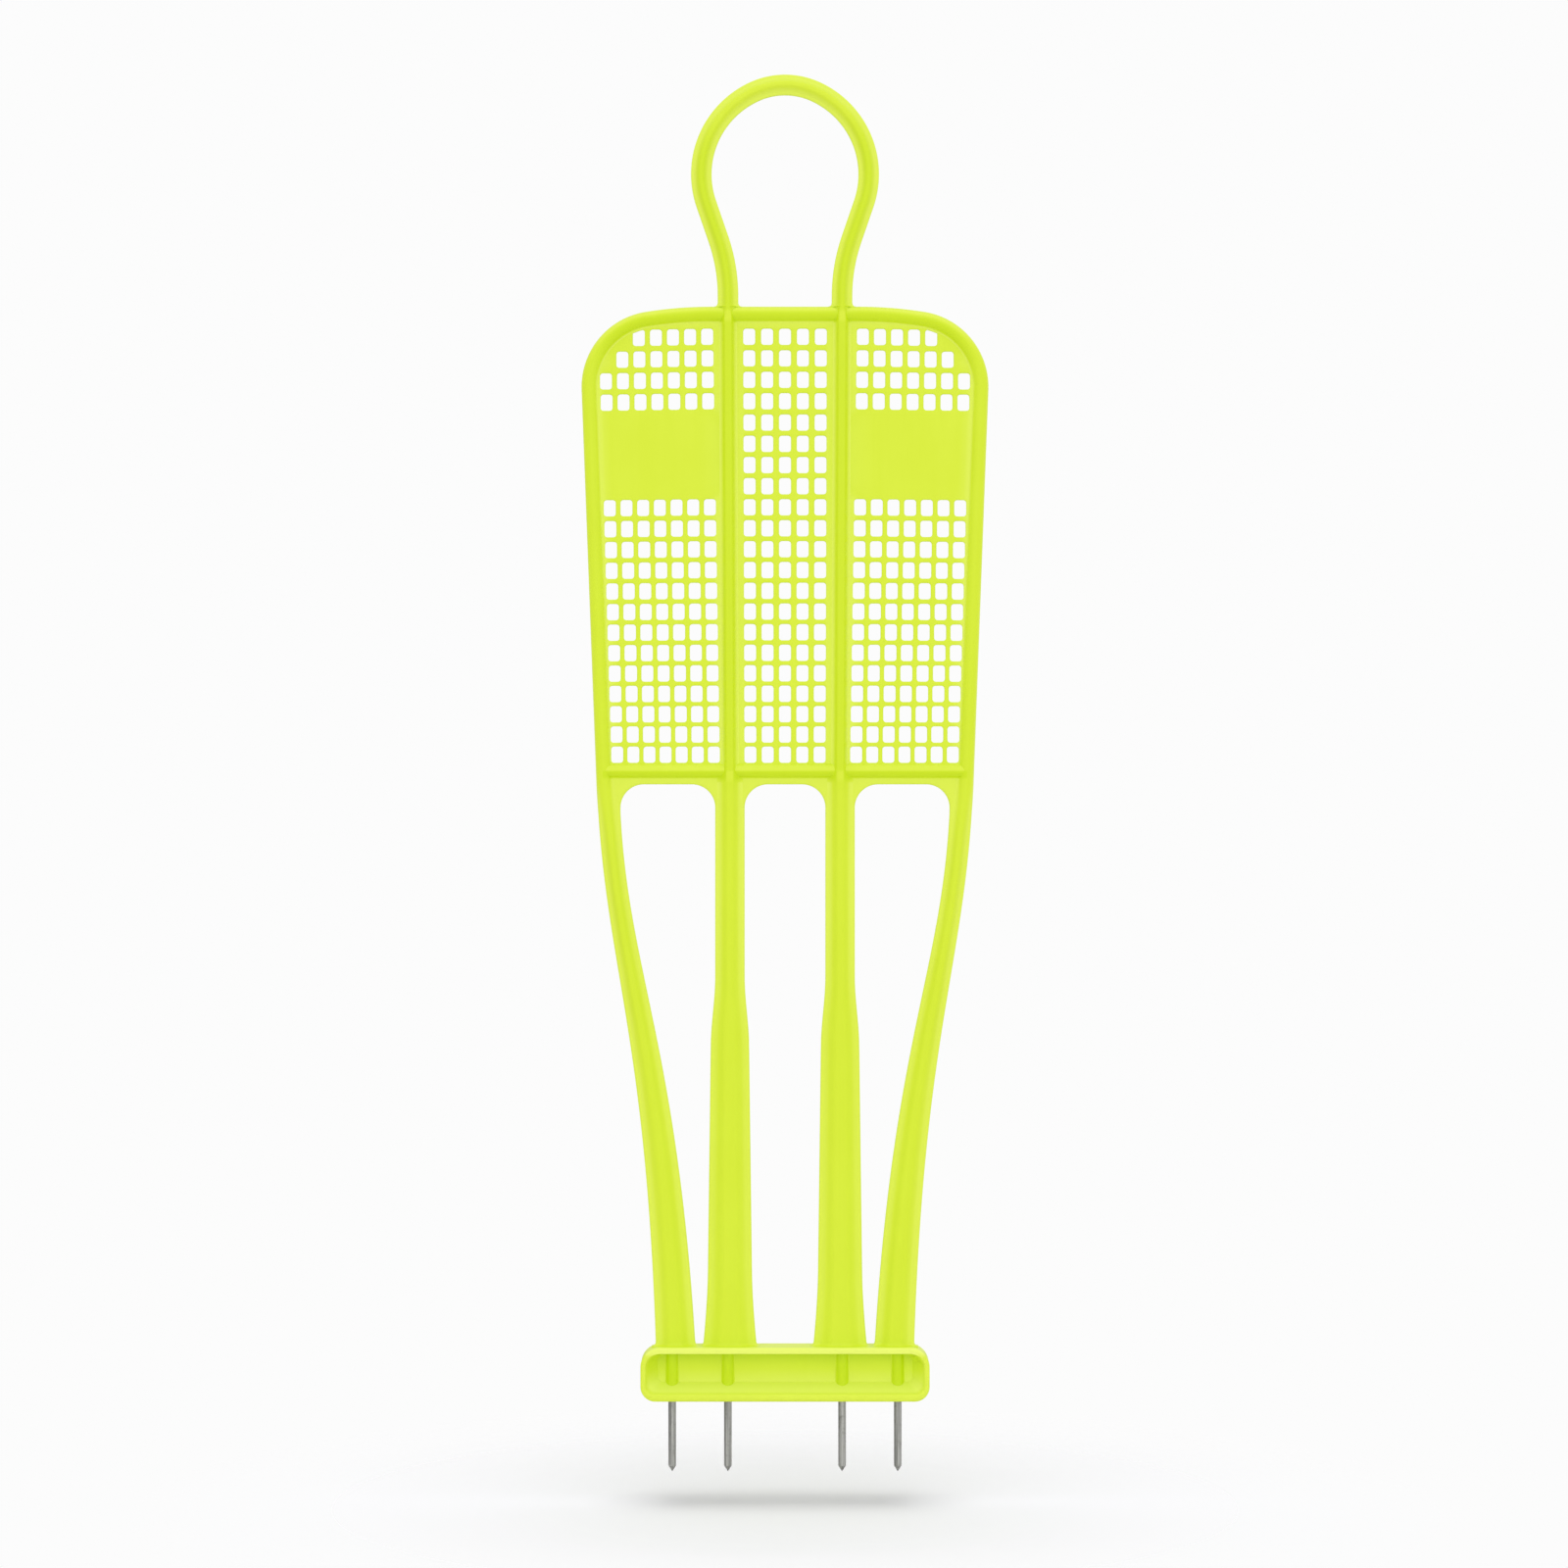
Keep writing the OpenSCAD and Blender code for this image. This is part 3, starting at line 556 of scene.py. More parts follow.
def hip_rings(n=34):
    """The flat leg turns slowly into the round rim of the torso."""
    r = RIM_R - RIM_PLAY
    tip = EDGE_N + 1
    rings = []
    for i in range(n + 1):
        z = mix(*HIP_BLEND, i / n)
        inner, outer = hip_edges(z)
        t, t_tip = smooth(i / n), rise(z, HIP_Z, WAIST_Z - 6)
        width = outer - inner
        shift = width / 2 - RIM_R
        toe = width / 2 - EDGE_R - TOE
        leg = rib_quarter(width / 2, toe, toe - leg_flank(width), FLANGE_T / 2, RIB_D / 2, EDGE_R)
        right = blend_outline([(u - shift, v) for u, v in leg], round_quarter(r), t)
        left = [(u + shift, v) for u, v in leg]
        wall = mix(FLANGE_T / 2, WEB_T / 2 - RIM_PLAY, rise(z, WAIST_Z - 4, WAIST_Z + 8))
        bead = bead_quarter(r, wall, mix(HIP_FILLET, SEAM_FILLET, rise(z, WAIST_Z - 3, WAIST_Z + 7)))
        left = blend_outline(left[:tip], bead[:tip], t_tip) + blend_outline(left[tip:], bead[tip:], t)
        rings.append(place(outline(right, left), outer - RIM_R, z, -TAPER * t))
    return rings


def rim_section(fillet=RIM_FILLET):
    r = RIM_R - RIM_PLAY
    return outline(round_quarter(r), bead_quarter(r, WEB_T / 2 - RIM_PLAY, fillet))


def rim_rings(side_n=26, corner_n=44, slope_n=10):
    """Up the side, round the shoulder corner and along the shoulder to the middle."""
    r = CORNER_R - RIM_R
    side_top = CORNER_Z - r * sind(TAPER)
    rings = []
    for share in [0.003, 0.006, 0.01] + [i / side_n for i in range(1, side_n + 1)]:
        z = mix(HIP_BLEND[1], side_top, share)
        section = rim_section(mix(SEAM_FILLET, RIM_FILLET, smooth(share)))
        rings.append(place(section, side_x(z, RIM_R), z, -TAPER))
    for i in range(1, corner_n + 1):
        a = mix(-TAPER, 90 - SHOULDER, i / corner_n)
        rings.append(place(rim_section(), CORNER_X + r * cosd(a), CORNER_Z + r * sind(a), a))
    r = SLOPE_R - RIM_R
    for i in range(1, slope_n + 1):
        a = mix(90 - SHOULDER, 90, i / slope_n)
        rings.append(place(rim_section(), FLAT_W / 2 + r * cosd(a), TORSO_Z - SLOPE_R + r * sind(a), a))
    for x in (60.0, 30.0, 0.0):
        rings.append(place(rim_section(), x, TORSO_Z - RIM_R, 90))
    return rings


def build_rim():
    verts, faces = loft(with_mirror(outer_leg_rings() + hip_rings() + rim_rings()))

    def thickness_and_painted_light(co):
        x, y, z = abs(co.x), abs(co.y), co.z
        # pale flanks are painted light, for glow through the thin flanges; the rib is darker where the
        # plastic is heavy
        leg = mix(-0.3, 0.3, rise(y, 4.5, 11.5))
        side = mix(leg, mix(-0.45, 0.3, rise(y, 3, 8)), rise(z, WAIST_Z - 30, WAIST_Z + 10))
        # painted shade under the waist bead runs on into the rim
        waist_shade_strip = in_band(z, WAIST_Z, WAIST_BAR_Z) * rise(side_x(z, 8.0) - x, 0, 2)
        side = mix(side, BEAD_SHADE_LEVEL, waist_shade_strip)
        # along the top the bead's underside has painted shade and its top a painted highlight
        if x > CORNER_X:
            across = CORNER_R - math.hypot(x - CORNER_X, max(0.0, z - CORNER_Z))
            top = rise(math.degrees(math.atan2(z - CORNER_Z, x - CORNER_X)), 0, 60)
        else:
            across = SLOPE_R - math.hypot(max(0.0, x - FLAT_W / 2), z - TORSO_Z + SLOPE_R)
            top = rise(z, CORNER_Z, CORNER_Z + 20)
        rail_underside_shade = rise(across, 4.5, 9.5) * rise(y, 3, 6)
        rail_top_highlight = mix(-0.25, -0.45, rise(across, 14, 18))
        return mix(side, mix(rail_top_highlight, 0.8, rail_underside_shade), top)

    return finish_mesh("rim_and_outer_legs", verts, faces, PLASTIC, thickness_and_painted_light=thickness_and_painted_light)


def build_waist(n=24):
    """Round bead along the waist, with a fine fillet above it and a wider one below."""
    above = bead_quarter(WAIST_R, WEB_T / 2 - RIM_PLAY, WAIST_FILLET_TOP)
    below = bead_quarter(WAIST_R, FLANGE_T / 2 - WALL_PLAY, WAIST_FILLET_LOW)
    section = outline(above, below)
    reach = side_x(WAIST_BAR_Z, RIM_R)
    xs = [mix(-reach, reach, i / n) for i in range(n + 1)]
    rings = [[(x, v, WAIST_BAR_Z + u) for u, v in section] for x in xs]
    verts, faces = loft(rings)

    def thickness_and_painted_light(co):
        # the bead's underside has painted shade; its top is a little pale
        waist_underside_shade = rise(WAIST_BAR_Z - co.z, -1.5, 1.5)
        return mix(-0.1, BEAD_SHADE_LEVEL, waist_underside_shade) * rise(abs(co.y), 3.9, 5.1)

    return finish_mesh("waist_bead", verts, faces, PLASTIC, thickness_and_painted_light=thickness_and_painted_light)


# Flat walls with rounded edges
def offset_loop(loop, d):
    """Loop moved to its left by d, corner by corner."""
    n = len(loop)
    result = []
    for i in range(n):
        p, q, r = (Vector(loop[k % n]) for k in (i - 1, i, i + 1))
        a, b = (q - p).normalized(), (r - q).normalized()
        na, nb = Vector((-a.y, a.x)), Vector((-b.y, b.x))
        m = (na + nb).normalized()
        result.append(tuple(q + m * (d / max(0.3, m.dot(na)))))
    return result


def inside(loop, x, y):
    """Whether a point lies inside a closed loop."""
    hit = False
    for i in range(len(loop)):
        (x0, y0), (x1, y1) = loop[i - 1], loop[i]
        if (y0 > y) != (y1 > y) and x < (x1 - x0) * (y - y0) / (y1 - y0) + x0:
            hit = not hit
    return hit


def plate(name, outer, holes, half, edge, steps=3, thickness_and_painted_light=None):
    """Wall in the front view with rounded edges. outer and holes run anticlockwise, at the wall's sides."""
    verts, faces = [], []
    flat_loops = []

    def add_side(loop, inward):
        profile = [(offset_loop(loop, inward * edge), -half)]
        for k in range(1, steps + 1):
            a = 90 * k / steps
            ring = offset_loop(loop, inward * edge * (1 - sind(a)))
            profile.append((ring, -(half - edge * (1 - cosd(a)))))
        profile += [(ring, -y) for ring, y in reversed(profile)]
        start = len(verts)
        n = len(loop)
        for ring, y in profile:
            verts.extend((x, y, z) for x, z in ring)
        for k in range(len(profile) - 1):
            a, b = start + k * n, start + (k + 1) * n
            for i in range(n):
                j = (i + 1) % n
                faces.append((a + i, a + j, b + j, b + i))
        flat_loops.append((start, start + (len(profile) - 1) * n, n, profile[0][0]))

    add_side(outer, 1)
    for hole in holes:
        add_side(hole, -1)
    points, edges = [], []
    index_front, index_back = [], []
    for front, back, n, ring in flat_loops:
        s = len(points)
        points.extend(ring)
        edges.extend((s + i, s + (i + 1) % n) for i in range(n))
        index_front.extend(range(front, front + n))
        index_back.extend(range(back, back + n))
    out_points, _, tris, origin, _, _ = delaunay_2d_cdt([Vector(p) for p in points], edges, [], 0, 1e-6)
    edge_ring, *hole_rings = [ring for _, _, _, ring in flat_loops]
    boxes = []
    for ring in hole_rings:
        xs, ys = [p[0] for p in ring], [p[1] for p in ring]
        boxes.append((min(xs), max(xs), min(ys), max(ys)))
    for tri in tris:
        cx = sum(out_points[k].x for k in tri) / 3
        cy = sum(out_points[k].y for k in tri) / 3
        near = [ring for ring, b in zip(hole_rings, boxes) if b[0] < cx < b[1] and b[2] < cy < b[3]]
        if not inside(edge_ring, cx, cy) or any(inside(ring, cx, cy) for ring in near):
            continue
        ids = [origin[k][0] for k in tri]
        faces.append(tuple(index_front[i] for i in ids))
        faces.append(tuple(index_back[i] for i in reversed(ids)))
    return finish_mesh(name, verts, faces, PLASTIC, thickness_and_painted_light=thickness_and_painted_light)


def row_share(row):
    t = row / (ROWS - 1)
    return t + CROWDING * t * (1 - t)


def hole_loop(cx, cz):
    pts = []
    for corner, (sx, sz) in enumerate(((1, 1), (-1, 1), (-1, -1), (1, -1))):
        for a in (0, 22.5, 45, 67.5, 90):
            pts.append((cx + sx * (HOLE_W / 2 - HOLE_R) + HOLE_R * cosd(corner * 90 + a),
                        cz + sz * (HOLE_H / 2 - HOLE_R) + HOLE_R * sind(corner * 90 + a)))
    return pts


def lattice_holes():
    """Every hole of the lattice; the side rows leave out the chest patches and the shoulder corners."""
    top_z = TORSO_Z - TOP_DROP
    bottom_z = LATTICE_LOW + BOTTOM_WALL + HOLE_H / 2
    holes = []
    for row in range(ROWS):
        t = row_share(row)
        z = mix(top_z, bottom_z, t)
        for col in range(MID_COLS):
            holes.append(hole_loop((col - (MID_COLS - 1) / 2) * mix(*MID_PITCH, t), z))
        if row in PATCH_ROWS:
            continue
        first = spine_x(z) + mix(*SPINE_GAP, t)
        last = side_x(z, mix(*EDGE_GAP, t))
        for col in range(SIDE_COLS):
            share = col / (SIDE_COLS - 1)
            x, cz = mix(first, last, share), z - DROOP * share * (1 - t)
            far = (x + HOLE_W / 2 - CORNER_X, cz + HOLE_H / 2 - CORNER_Z)
            if min(far) > 0 and math.hypot(*far) > CORNER_R - RIM_R - CORNER_GAP:
                continue
            holes.append(hole_loop(x, cz))
            holes.append(hole_loop(-x, cz))
    return holes


def build_panel(corner_n=30, slope_n=4):
    """Wall of the torso; its edge runs PANEL_SINK into the rim and to the middle of the waist bead."""
    inset = RIM_D - PANEL_SINK
    right = [(side_x(WAIST_BAR_Z, inset), WAIST_BAR_Z)]
    right += arc_pts(CORNER_X, CORNER_Z, CORNER_R - inset, -TAPER, 90 - SHOULDER, corner_n)
    right += arc_pts(FLAT_W / 2, TORSO_Z - SLOPE_R, SLOPE_R - inset, 90 - SHOULDER, 90, slope_n)[1:]
    outer = right + [(-x, y) for x, y in reversed(right)]

    def thickness_and_painted_light(co):
        x, z = abs(co.x), co.z
        gap = min(LATTICE_TOP - z, side_x(z, RIM_D) - x, abs(x - spine_x(z)) - 12)
        # painted light: the wall is paler near the top rail, the side rim and the spines, where their shade
        # would fall
        return -0.45 * (1 - rise(gap, 1, 11))

    return plate("torso_panel", outer, lattice_holes(), WEB_T / 2, HOLE_EDGE, thickness_and_painted_light=thickness_and_painted_light)


def build_arch(name, left, right):
    """Wall over a leg opening; its sides run into the legs and its top into the waist bead."""
    def sink(x):
        return ARCH_SINK_OUTER if abs(x) > HIP_X + THIGH_W else ARCH_SINK_INNER

    top = WAIST_Z - ARCH_BAND
    low, side_top = top - ARCH_R - 6, top - ARCH_R - 3
    left, right = left - ARCH_OVERLAP, right + ARCH_OVERLAP
    opening = [(left, low), (left, side_top)]
    opening += arc_pts(left + ARCH_R, top - ARCH_R, ARCH_R, 180, 90, 14)
    opening += arc_pts(right - ARCH_R, top - ARCH_R, ARCH_R, 90, 0, 14)
    opening += [(right, side_top), (right, low)]
    far_left, far_right = left - sink(left), right + sink(right)
    outer = [(far_right, low), (far_right, WAIST_BAR_Z), (far_left, WAIST_BAR_Z), (far_left, low)]
    half = FLANGE_T / 2 - ARCH_PLAY
    # the arch walls are painted a little paler: painted light, as on the other thin walls
    return plate(name, outer + opening, [], half, EDGE_R, steps=4, thickness_and_painted_light=lambda co: -0.25)


# Base tray
# How far the rounded lip and the scooped wall of a pocket reach in, at its ends, bottom and top
LIP_OUTSIDE, LIP_INSIDE, SCOOP = (3.4, 4.8, 3.2), (3.4, 4.8, 1.2), (15.0, 13.0, 3.5)
LIP_R, LIP_LEAN = 4.0, 35.0
SCOOP_LOW_R, SCOOP_TOP_R = 8.0, 12.0


def tray_loop(w, low, high, r_low, r_high, n=10):
    """Anticlockwise loop of a rectangle with round corners, starting at the lower right."""
    pts = arc_pts(w / 2 - r_low, low + r_low, r_low, -90, 0, n)
    pts += arc_pts(w / 2 - r_high, high - r_high, r_high, 0, 90, n)
    pts += arc_pts(-w / 2 + r_high, high - r_high, r_high, 90, 180, n)
    pts += arc_pts(-w / 2 + r_low, low + r_low, r_low, 180, 270, n)
    return pts


def scoop_inset(reach, depth, d, curve=1.1):
    """How far a pocket's wall stands in at a distance d from its floor; a curve of 1 is a straight slope."""
    return 0.0 if d >= depth else reach * (1 - (1 - (1 - d / depth) ** curve) ** (1 / curve))


def pocket_loop(ends, bottom, top):
    """Outline inside a pocket, moved in from the pocket's mouth; less than nothing moves it out."""
    share = max(0.0, ends) / SCOOP[0]
    low_r = mix(BASE_LOW_R - BASE_END - min(0.0, ends), SCOOP_LOW_R, share)
    top_r = mix(BASE_TOP_R - BASE_END - min(0.0, ends), SCOOP_TOP_R, share)
    width = BASE_W - 2 * BASE_END - 2 * ends
    return tray_loop(width, BASE_LOW + bottom, BASE_H - BASE_TOP - top, low_r, top_r)


def rim_loop(share):
    """Outline outside the tray, moved in by a share of the lip."""
    ends, bottom, top = (reach * share for reach in LIP_OUTSIDE)
    return tray_loop(BASE_W - 2 * ends, bottom, BASE_H - top, BASE_LOW_R - bottom, BASE_TOP_R - top)


def build_tray(scoop_n=12, inside_n=5, outside_n=6):
    """Front to back: floor and wall of the front pocket, lip, outside, and the same again mirrored."""
    half, web = BASE_D / 2, BASE_WEB / 2
    depth = half - web - LIP_R * (1 - sind(LIP_LEAN))
    profile = []
    for k in range(scoop_n + 1):
        d = depth * (1 - cosd(90 * k / scoop_n))
        ends, bottom = (scoop_inset(reach, depth, d) for reach in SCOOP[:2])
        top = scoop_inset(SCOOP[2], SCOOP[2], d, curve=2)
        profile.append((pocket_loop(ends, bottom, top), -(web + d)))
    for k in range(1, inside_n + 1):
        a = mix(LIP_LEAN, 90, k / inside_n)
        back = cosd(a) - cosd(LIP_LEAN)
        loop = pocket_loop(*(reach * back for reach in LIP_INSIDE))
        profile.append((loop, -(half - LIP_R * (1 - sind(a)))))
    for k in range(outside_n + 1):
        a = 90 * k / outside_n
        profile.append((rim_loop(1 - sind(a)), -(half - LIP_R * (1 - cosd(a)))))
    profile += [(ring, -y) for ring, y in reversed(profile)]
    verts, faces = loft([[(x, y, z) for x, z in ring] for ring, y in profile])

    def thickness_and_painted_light(co):
        # painted shade under the top flange, darkest at the top of the pocket; painted light lifts the
        # pocket's bottom and ends, and a painted highlight runs along the top of the lip
        pocket = 1 - rise(abs(co.y), 18, 23)
        painted_end_light = rise(abs(co.x), BASE_W / 2 - 32, BASE_W / 2 - 18)
        lip = -0.75 * rise(co.z, BASE_H - 11, BASE_H - 8) - 0.15
        return mix(lip, mix(-0.6, 0.5, rise(co.z, 14, 48)) - 0.2 * painted_end_light, pocket)

    return finish_mesh("base_tray_moulding", verts, faces, PLASTIC, sharp=50, thickness_and_painted_light=thickness_and_painted_light)


def build_boss(name, x):
    """Round boss through the wall of the tray, flared where it meets the wall and the flanges."""
    low, high = BASE_LOW, BASE_H - BASE_TOP
    straight = (low + BOSS_FILLET, high - BOSS_FILLET)
    levels = [(low - BOSS_DIP, 0.0)] + [(low + s, s) for s in BOSS_STEPS]
    levels += [(mix(*straight, i / 6), BOSS_FILLET) for i in range(1, 6)]
    levels += [(high - s, s) for s in reversed(BOSS_STEPS)] + [(high + BOSS_DIP, 0.0)]
    rings = []
    for z, d in levels:
        q = bead_quarter(BOSS_D / 2 + foot_grow(d, BOSS_FILLET), BASE_WEB / 2 - WALL_PLAY, BOSS_FILLET)
        rings.append([(x + u, v, z) for u, v in outline(q, q)])
    verts, faces = loft(rings)

    def thickness_and_painted_light(co):
        # dark where the boss's plastic is heavy, darkening toward the top as painted shade under the tray's
        # top flange
        return rise(abs(co.y), 3.2, 5.8) * mix(BEAD_SHADE_LEVEL, 1.0, rise(co.z, low, low + 30))

    return finish_mesh(name, verts, faces, PLASTIC, thickness_and_painted_light=thickness_and_painted_light)


# Spikes and sockets
def thread(z, angle):
    """Height of a right-handed thread: 0 at its root and 1 on its crest."""
    phase = (z / THREAD_PITCH - angle / 360) % 1.0
    return min(1.0, max(0.0, (1 - abs(2 * phase - 1)) * 1.5 - 0.25))


def round_ring(x, z, steps, radius):
    """Ring about a spike's axis; radius gives the radius at an angle."""
    angles = [360 * i / steps for i in range(steps)]
    return [(x + radius(a) * cosd(a), radius(a) * sind(a), z) for a in angles]


def plain_ring(x, z, steps, r):
    return round_ring(x, z, steps, lambda a: r)


def build_spike(name, x, steps=32):
    """Turned rod: ground point, shoulder with a broken edge, and a stud with a neck and a thread."""
    r, stud_r, tip_z = SPIKE_D / 2, STUD_D / 2, -SPIKE_L
    cone_low, cone_top = tip_z + 1.0, tip_z + TIP_L - 0.5
    profile = [(0.35, tip_z), (0.75, tip_z + 0.12), (1.05, tip_z + 0.5), (TIP_D / 2, cone_low)]
    profile += [(mix(TIP_D / 2, r - 0.35, i / 5), mix(cone_low, cone_top, i / 5)) for i in range(1, 6)]
    profile += [(r - 0.12, tip_z + TIP_L - 0.1), (r, tip_z + TIP_L + 0.4)]
    profile += [(r, mix(tip_z + TIP_L, -1.0, i / 12)) for i in range(1, 12)]
    profile += [(r, -0.7), (r - 0.15, -0.25), (r - 0.6, 0.0), (stud_r - 0.75, 0.0), (stud_r - 0.75, 1.2)]
    rings = [plain_ring(x, z, steps, radius) for radius, z in profile]
    root, crest = stud_r - 0.65, stud_r - 0.02
    first, last = 1.5, STUD_L - 0.9
    z = first
    while z < last:
        height = (crest - root) * rise(z, first, first + 1.2) * rise(last - z, 0, 1.4)
        rings.append(round_ring(x, z, steps, lambda a: root + height * thread(z, a)))
        z += THREAD_PITCH / 8
    for radius, z in ((stud_r - 0.7, STUD_L - 0.7), (stud_r - 1.1, STUD_L - 0.2), (stud_r - 1.5, STUD_L)):
        rings.append(plain_ring(x, z, steps, radius))
    verts, faces = loft(rings)
    return finish_mesh(name, verts, faces, STEEL, sharp=35)


def build_socket(name, x, steps=48, teeth=24):
    """Moulded-in threaded sleeve: knurled outside with a groove, thread and lead-in chamfer inside."""
    bore, outside = BORE_D / 2, SOCKET_D / 2

    def knurl(a):
        return outside - 0.02 - 0.45 * abs(((a * teeth / 360) % 1.0) - 0.5)

    rings = [plain_ring(x, 0.05, steps, bore + 0.9)]
    first = 1.3
    z = first
    while z < SOCKET_L - 1.0:
        height = 0.5 * rise(z, first, first + 0.8)
        rings.append(round_ring(x, z, steps, lambda a: bore + 0.55 - height * thread(z, a)))
        z += THREAD_PITCH / 6
    rings.append(plain_ring(x, SOCKET_L - 0.6, steps, bore + 0.5))
    rings.append(plain_ring(x, SOCKET_L, steps, bore + 0.6))
    rings.append(plain_ring(x, SOCKET_L, steps, outside - 0.5))
    rings += [round_ring(x, z, steps, knurl) for z in (SOCKET_L - 0.6, SOCKET_L * 0.6)]
    rings += [plain_ring(x, z, steps, outside - 0.8) for z in (SOCKET_L * 0.58, SOCKET_L * 0.46)]
    rings += [round_ring(x, z, steps, knurl) for z in (SOCKET_L * 0.44, 2.0)]
    rings += [plain_ring(x, z, steps, outside - 0.02) for z in (1.6, 0.05)]
    verts, faces = loft(rings, closed=True)
    return finish_mesh(name, verts, faces, BRASS, sharp=35)


# Put the object together
uprights = build_uprights()
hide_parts("head_hoop", "left_spine", "right_spine", "left_inner_leg", "right_inner_leg")
rim = build_rim()
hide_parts("left_shoulder_rail", "collar_rail", "right_shoulder_rail", "left_side_rail",
            "right_side_rail", "left_outer_leg", "right_outer_leg")
waist = build_waist()
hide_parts("left_waist_rail", "middle_waist_rail", "right_waist_rail")
panel = build_panel()
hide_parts("left_lattice", "middle_lattice", "right_lattice")
arches = [
    build_arch("middle_hip_arch_wall", -HIP_X + THIGH_W / 2, HIP_X - THIGH_W / 2),
    build_arch("right_hip_arch_wall", HIP_X + THIGH_W / 2, OUT_HIP / 2 - OUT_HIP_W / 2),
    build_arch("left_hip_arch_wall", -OUT_HIP / 2 + OUT_HIP_W / 2, -HIP_X - THIGH_W / 2),
]
for piece, node in zip(arches, ("middle_hip_arch", "right_hip_arch", "left_hip_arch")):
    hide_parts(node)
tray = build_tray()
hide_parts("base_tray")
plastic_pieces = [uprights, rim, waist, panel, tray] + arches
for place_name, x in SPIKE_X.items():
    plastic_pieces.append(build_boss(place_name + "_boss", x))
for piece in plastic_pieces:
    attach(piece, "mannequin")

for place_name, x in SPIKE_X.items():
    spike = build_spike(place_name + "_spike_turned", x)
    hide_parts(place_name + "_spike")
    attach(spike, place_name + "_spike")
    socket = build_socket(place_name + "_socket_sleeve", x)
    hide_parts(place_name + "_socket")
    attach(socket, "mannequin")


# Floor, light and camera, in metres
FLOOR_Z = -0.1325
FLOOR_RADII = (0.2, 0.4, 0.6, 0.85)
FLOOR_FADE = (0.35, 0.85)
FLOOR_GREY = (0.32, 0.32, 0.325, 1)
SKY_STRENGTH = 0.92
ROOM_SIDE, ROOM_FADE, ROOM_DARK = (0.45, -0.3, 0.75), (-0.6, 0.28), 0.25
SUN_DISTANCE = 4
METRES_PER_PIXEL, PHOTO_PIXELS = 0.0012636, 1600
SENSOR_W, DISTANCE, CAMERA_X, CAMERA_Z = 36.0, 5.5, -0.0013, 0.7935


def floor_material():
    """Pale grey that fades out into the white background."""
    m = bpy.data.materials.new("floor_white")
    m.use_nodes = True
    nt = m.node_tree
    nt.nodes.clear()
    out = nt.nodes.new("ShaderNodeOutputMaterial")
    diffuse = nt.nodes.new("ShaderNodeBsdfDiffuse")
    diffuse.inputs["Color"].default_value = FLOOR_GREY
    clear = nt.nodes.new("ShaderNodeBsdfTransparent")
    blend = nt.nodes.new("ShaderNodeMixShader")
    length = nt.nodes.new("ShaderNodeVectorMath")
    length.operation = "LENGTH"
    nt.links.new(object_coords(nt), length.inputs[0])
    nt.links.new(map_range(nt, length.outputs["Value"], *FLOOR_FADE, 0.0, 1.0), blend.inputs[0])
    nt.links.new(diffuse.outputs["BSDF"], blend.inputs[1])
    nt.links.new(clear.outputs["BSDF"], blend.inputs[2])
    nt.links.new(blend.outputs["Shader"], out.inputs["Surface"])
    return m


def build_floor(n=96):
    """Round floor of rings about its middle."""
    verts = [(0.0, 0.0, FLOOR_Z)]
    for r in FLOOR_RADII:
        verts += [(r * cosd(360 * i / n), r * sind(360 * i / n), FLOOR_Z) for i in range(n)]
    faces = [(0, 1 + i, 1 + (i + 1) % n) for i in range(n)]
    for k in range(len(FLOOR_RADII) - 1):
        a, b = 1 + k * n, 1 + (k + 1) * n
        for i in range(n):
            j = (i + 1) % n
            faces.append((a + i, b + i, b + j, a + j))
    mesh = bpy.data.meshes.new("floor")
    mesh.from_pydata(verts, [], faces)
    mesh.materials.append(floor_material())
    floor = bpy.data.objects.new("floor", mesh)
    bpy.context.scene.collection.objects.link(floor)
    return floor


def sun_light(name, towards, strength, softness):
    """Soft even light that comes from a direction; softness is its width in degrees."""
    data = bpy.data.lights.new(name, "SUN")
    data.energy = strength
    data.angle = math.radians(softness)
    obj = bpy.data.objects.new(name, data)
    obj.location = Vector(towards) * SUN_DISTANCE
    obj.rotation_euler = Vector(towards).to_track_quat("Z", "Y").to_euler()
    bpy.context.scene.collection.objects.link(obj)
    return obj


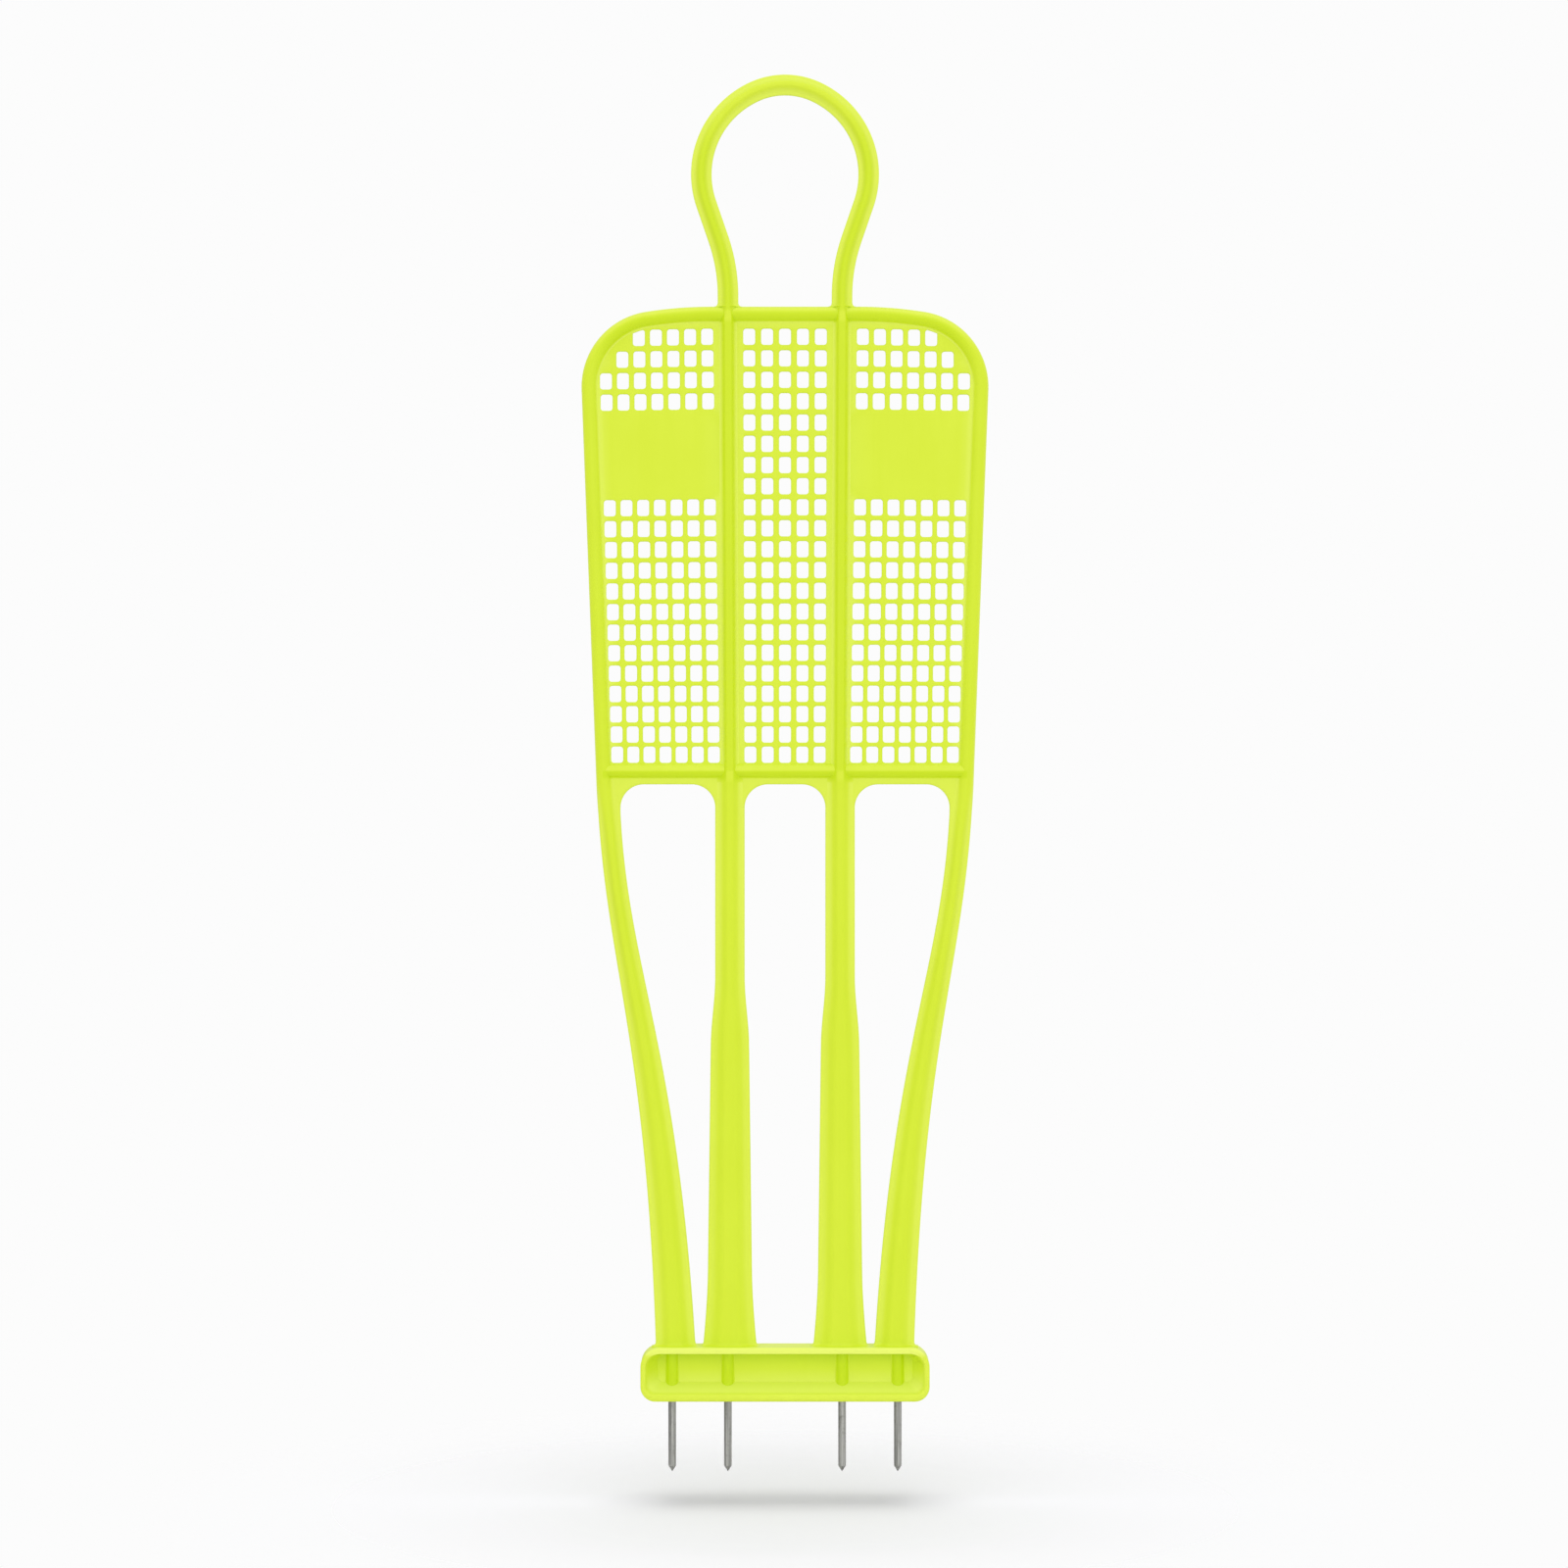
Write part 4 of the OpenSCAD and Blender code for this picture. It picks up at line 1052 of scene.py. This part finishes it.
def build_world():
    """Even white light; the camera sees the backdrop, and gloss mirrors a room that darkens to one side."""
    world = bpy.data.worlds.new("studio")
    bpy.context.scene.world = world
    world.use_nodes = True
    nt = world.node_tree
    nt.nodes.clear()
    out = nt.nodes.new("ShaderNodeOutputWorld")
    light = nt.nodes.new("ShaderNodeBackground")
    light.inputs["Color"].default_value = (1, 1, 1, 1)
    light.inputs["Strength"].default_value = SKY_STRENGTH
    seen = nt.nodes.new("ShaderNodeBackground")
    seen.inputs["Color"].default_value = BACKDROP
    seen.inputs["Strength"].default_value = 1.0
    room = nt.nodes.new("ShaderNodeBackground")
    facing = nt.nodes.new("ShaderNodeVectorMath")
    facing.operation = "DOT_PRODUCT"
    nt.links.new(nt.nodes.new("ShaderNodeTexCoord").outputs["Generated"], facing.inputs[0])
    facing.inputs[1].default_value = ROOM_SIDE
    glow = map_range(nt, facing.outputs["Value"], *ROOM_FADE, ROOM_DARK, 1.0)
    nt.links.new(mix_colour(nt, glow, (0, 0, 0, 1), BACKDROP), room.inputs["Color"])
    path = nt.nodes.new("ShaderNodeLightPath")
    either = nt.nodes.new("ShaderNodeMath")
    either.operation = "MAXIMUM"
    nt.links.new(path.outputs["Is Camera Ray"], either.inputs[0])
    nt.links.new(path.outputs["Is Transmission Ray"], either.inputs[1])
    gloss = nt.nodes.new("ShaderNodeMixShader")
    nt.links.new(path.outputs["Is Glossy Ray"], gloss.inputs[0])
    nt.links.new(light.outputs["Background"], gloss.inputs[1])
    nt.links.new(room.outputs["Background"], gloss.inputs[2])
    blend = nt.nodes.new("ShaderNodeMixShader")
    nt.links.new(either.outputs[0], blend.inputs[0])
    nt.links.new(gloss.outputs["Shader"], blend.inputs[1])
    nt.links.new(seen.outputs["Background"], blend.inputs[2])
    nt.links.new(blend.outputs["Shader"], out.inputs["Surface"])


def build_camera():
    """Camera at the photo's scale, square on to the front."""
    data = bpy.data.cameras.new("photo_camera")
    data.sensor_width = SENSOR_W
    data.lens = SENSOR_W * DISTANCE / (METRES_PER_PIXEL * PHOTO_PIXELS)
    camera = bpy.data.objects.new("photo_camera", data)
    camera.location = (CAMERA_X, -DISTANCE, CAMERA_Z)
    camera.rotation_euler = (math.radians(90), 0, 0)
    bpy.context.scene.collection.objects.link(camera)
    return camera


floor = build_floor()
build_world()
sun_light("key", (0.05, -0.90, 0.42), strength=0.30, softness=40)
sun_light("top", (0.02, -0.20, 1.0), strength=0.20, softness=30)
floor_sun = sun_light("floor_top", (0.0, -0.04, 1.0), strength=6.4, softness=48)
floor_only = bpy.data.collections.new("floor_only")
floor_only.objects.link(floor)
floor_sun.light_linking.receiver_collection = floor_only
camera = build_camera()
bpy.context.scene.camera = camera
bpy.context.scene.view_settings.view_transform = "Standard"


bpy.context.view_layer.update()
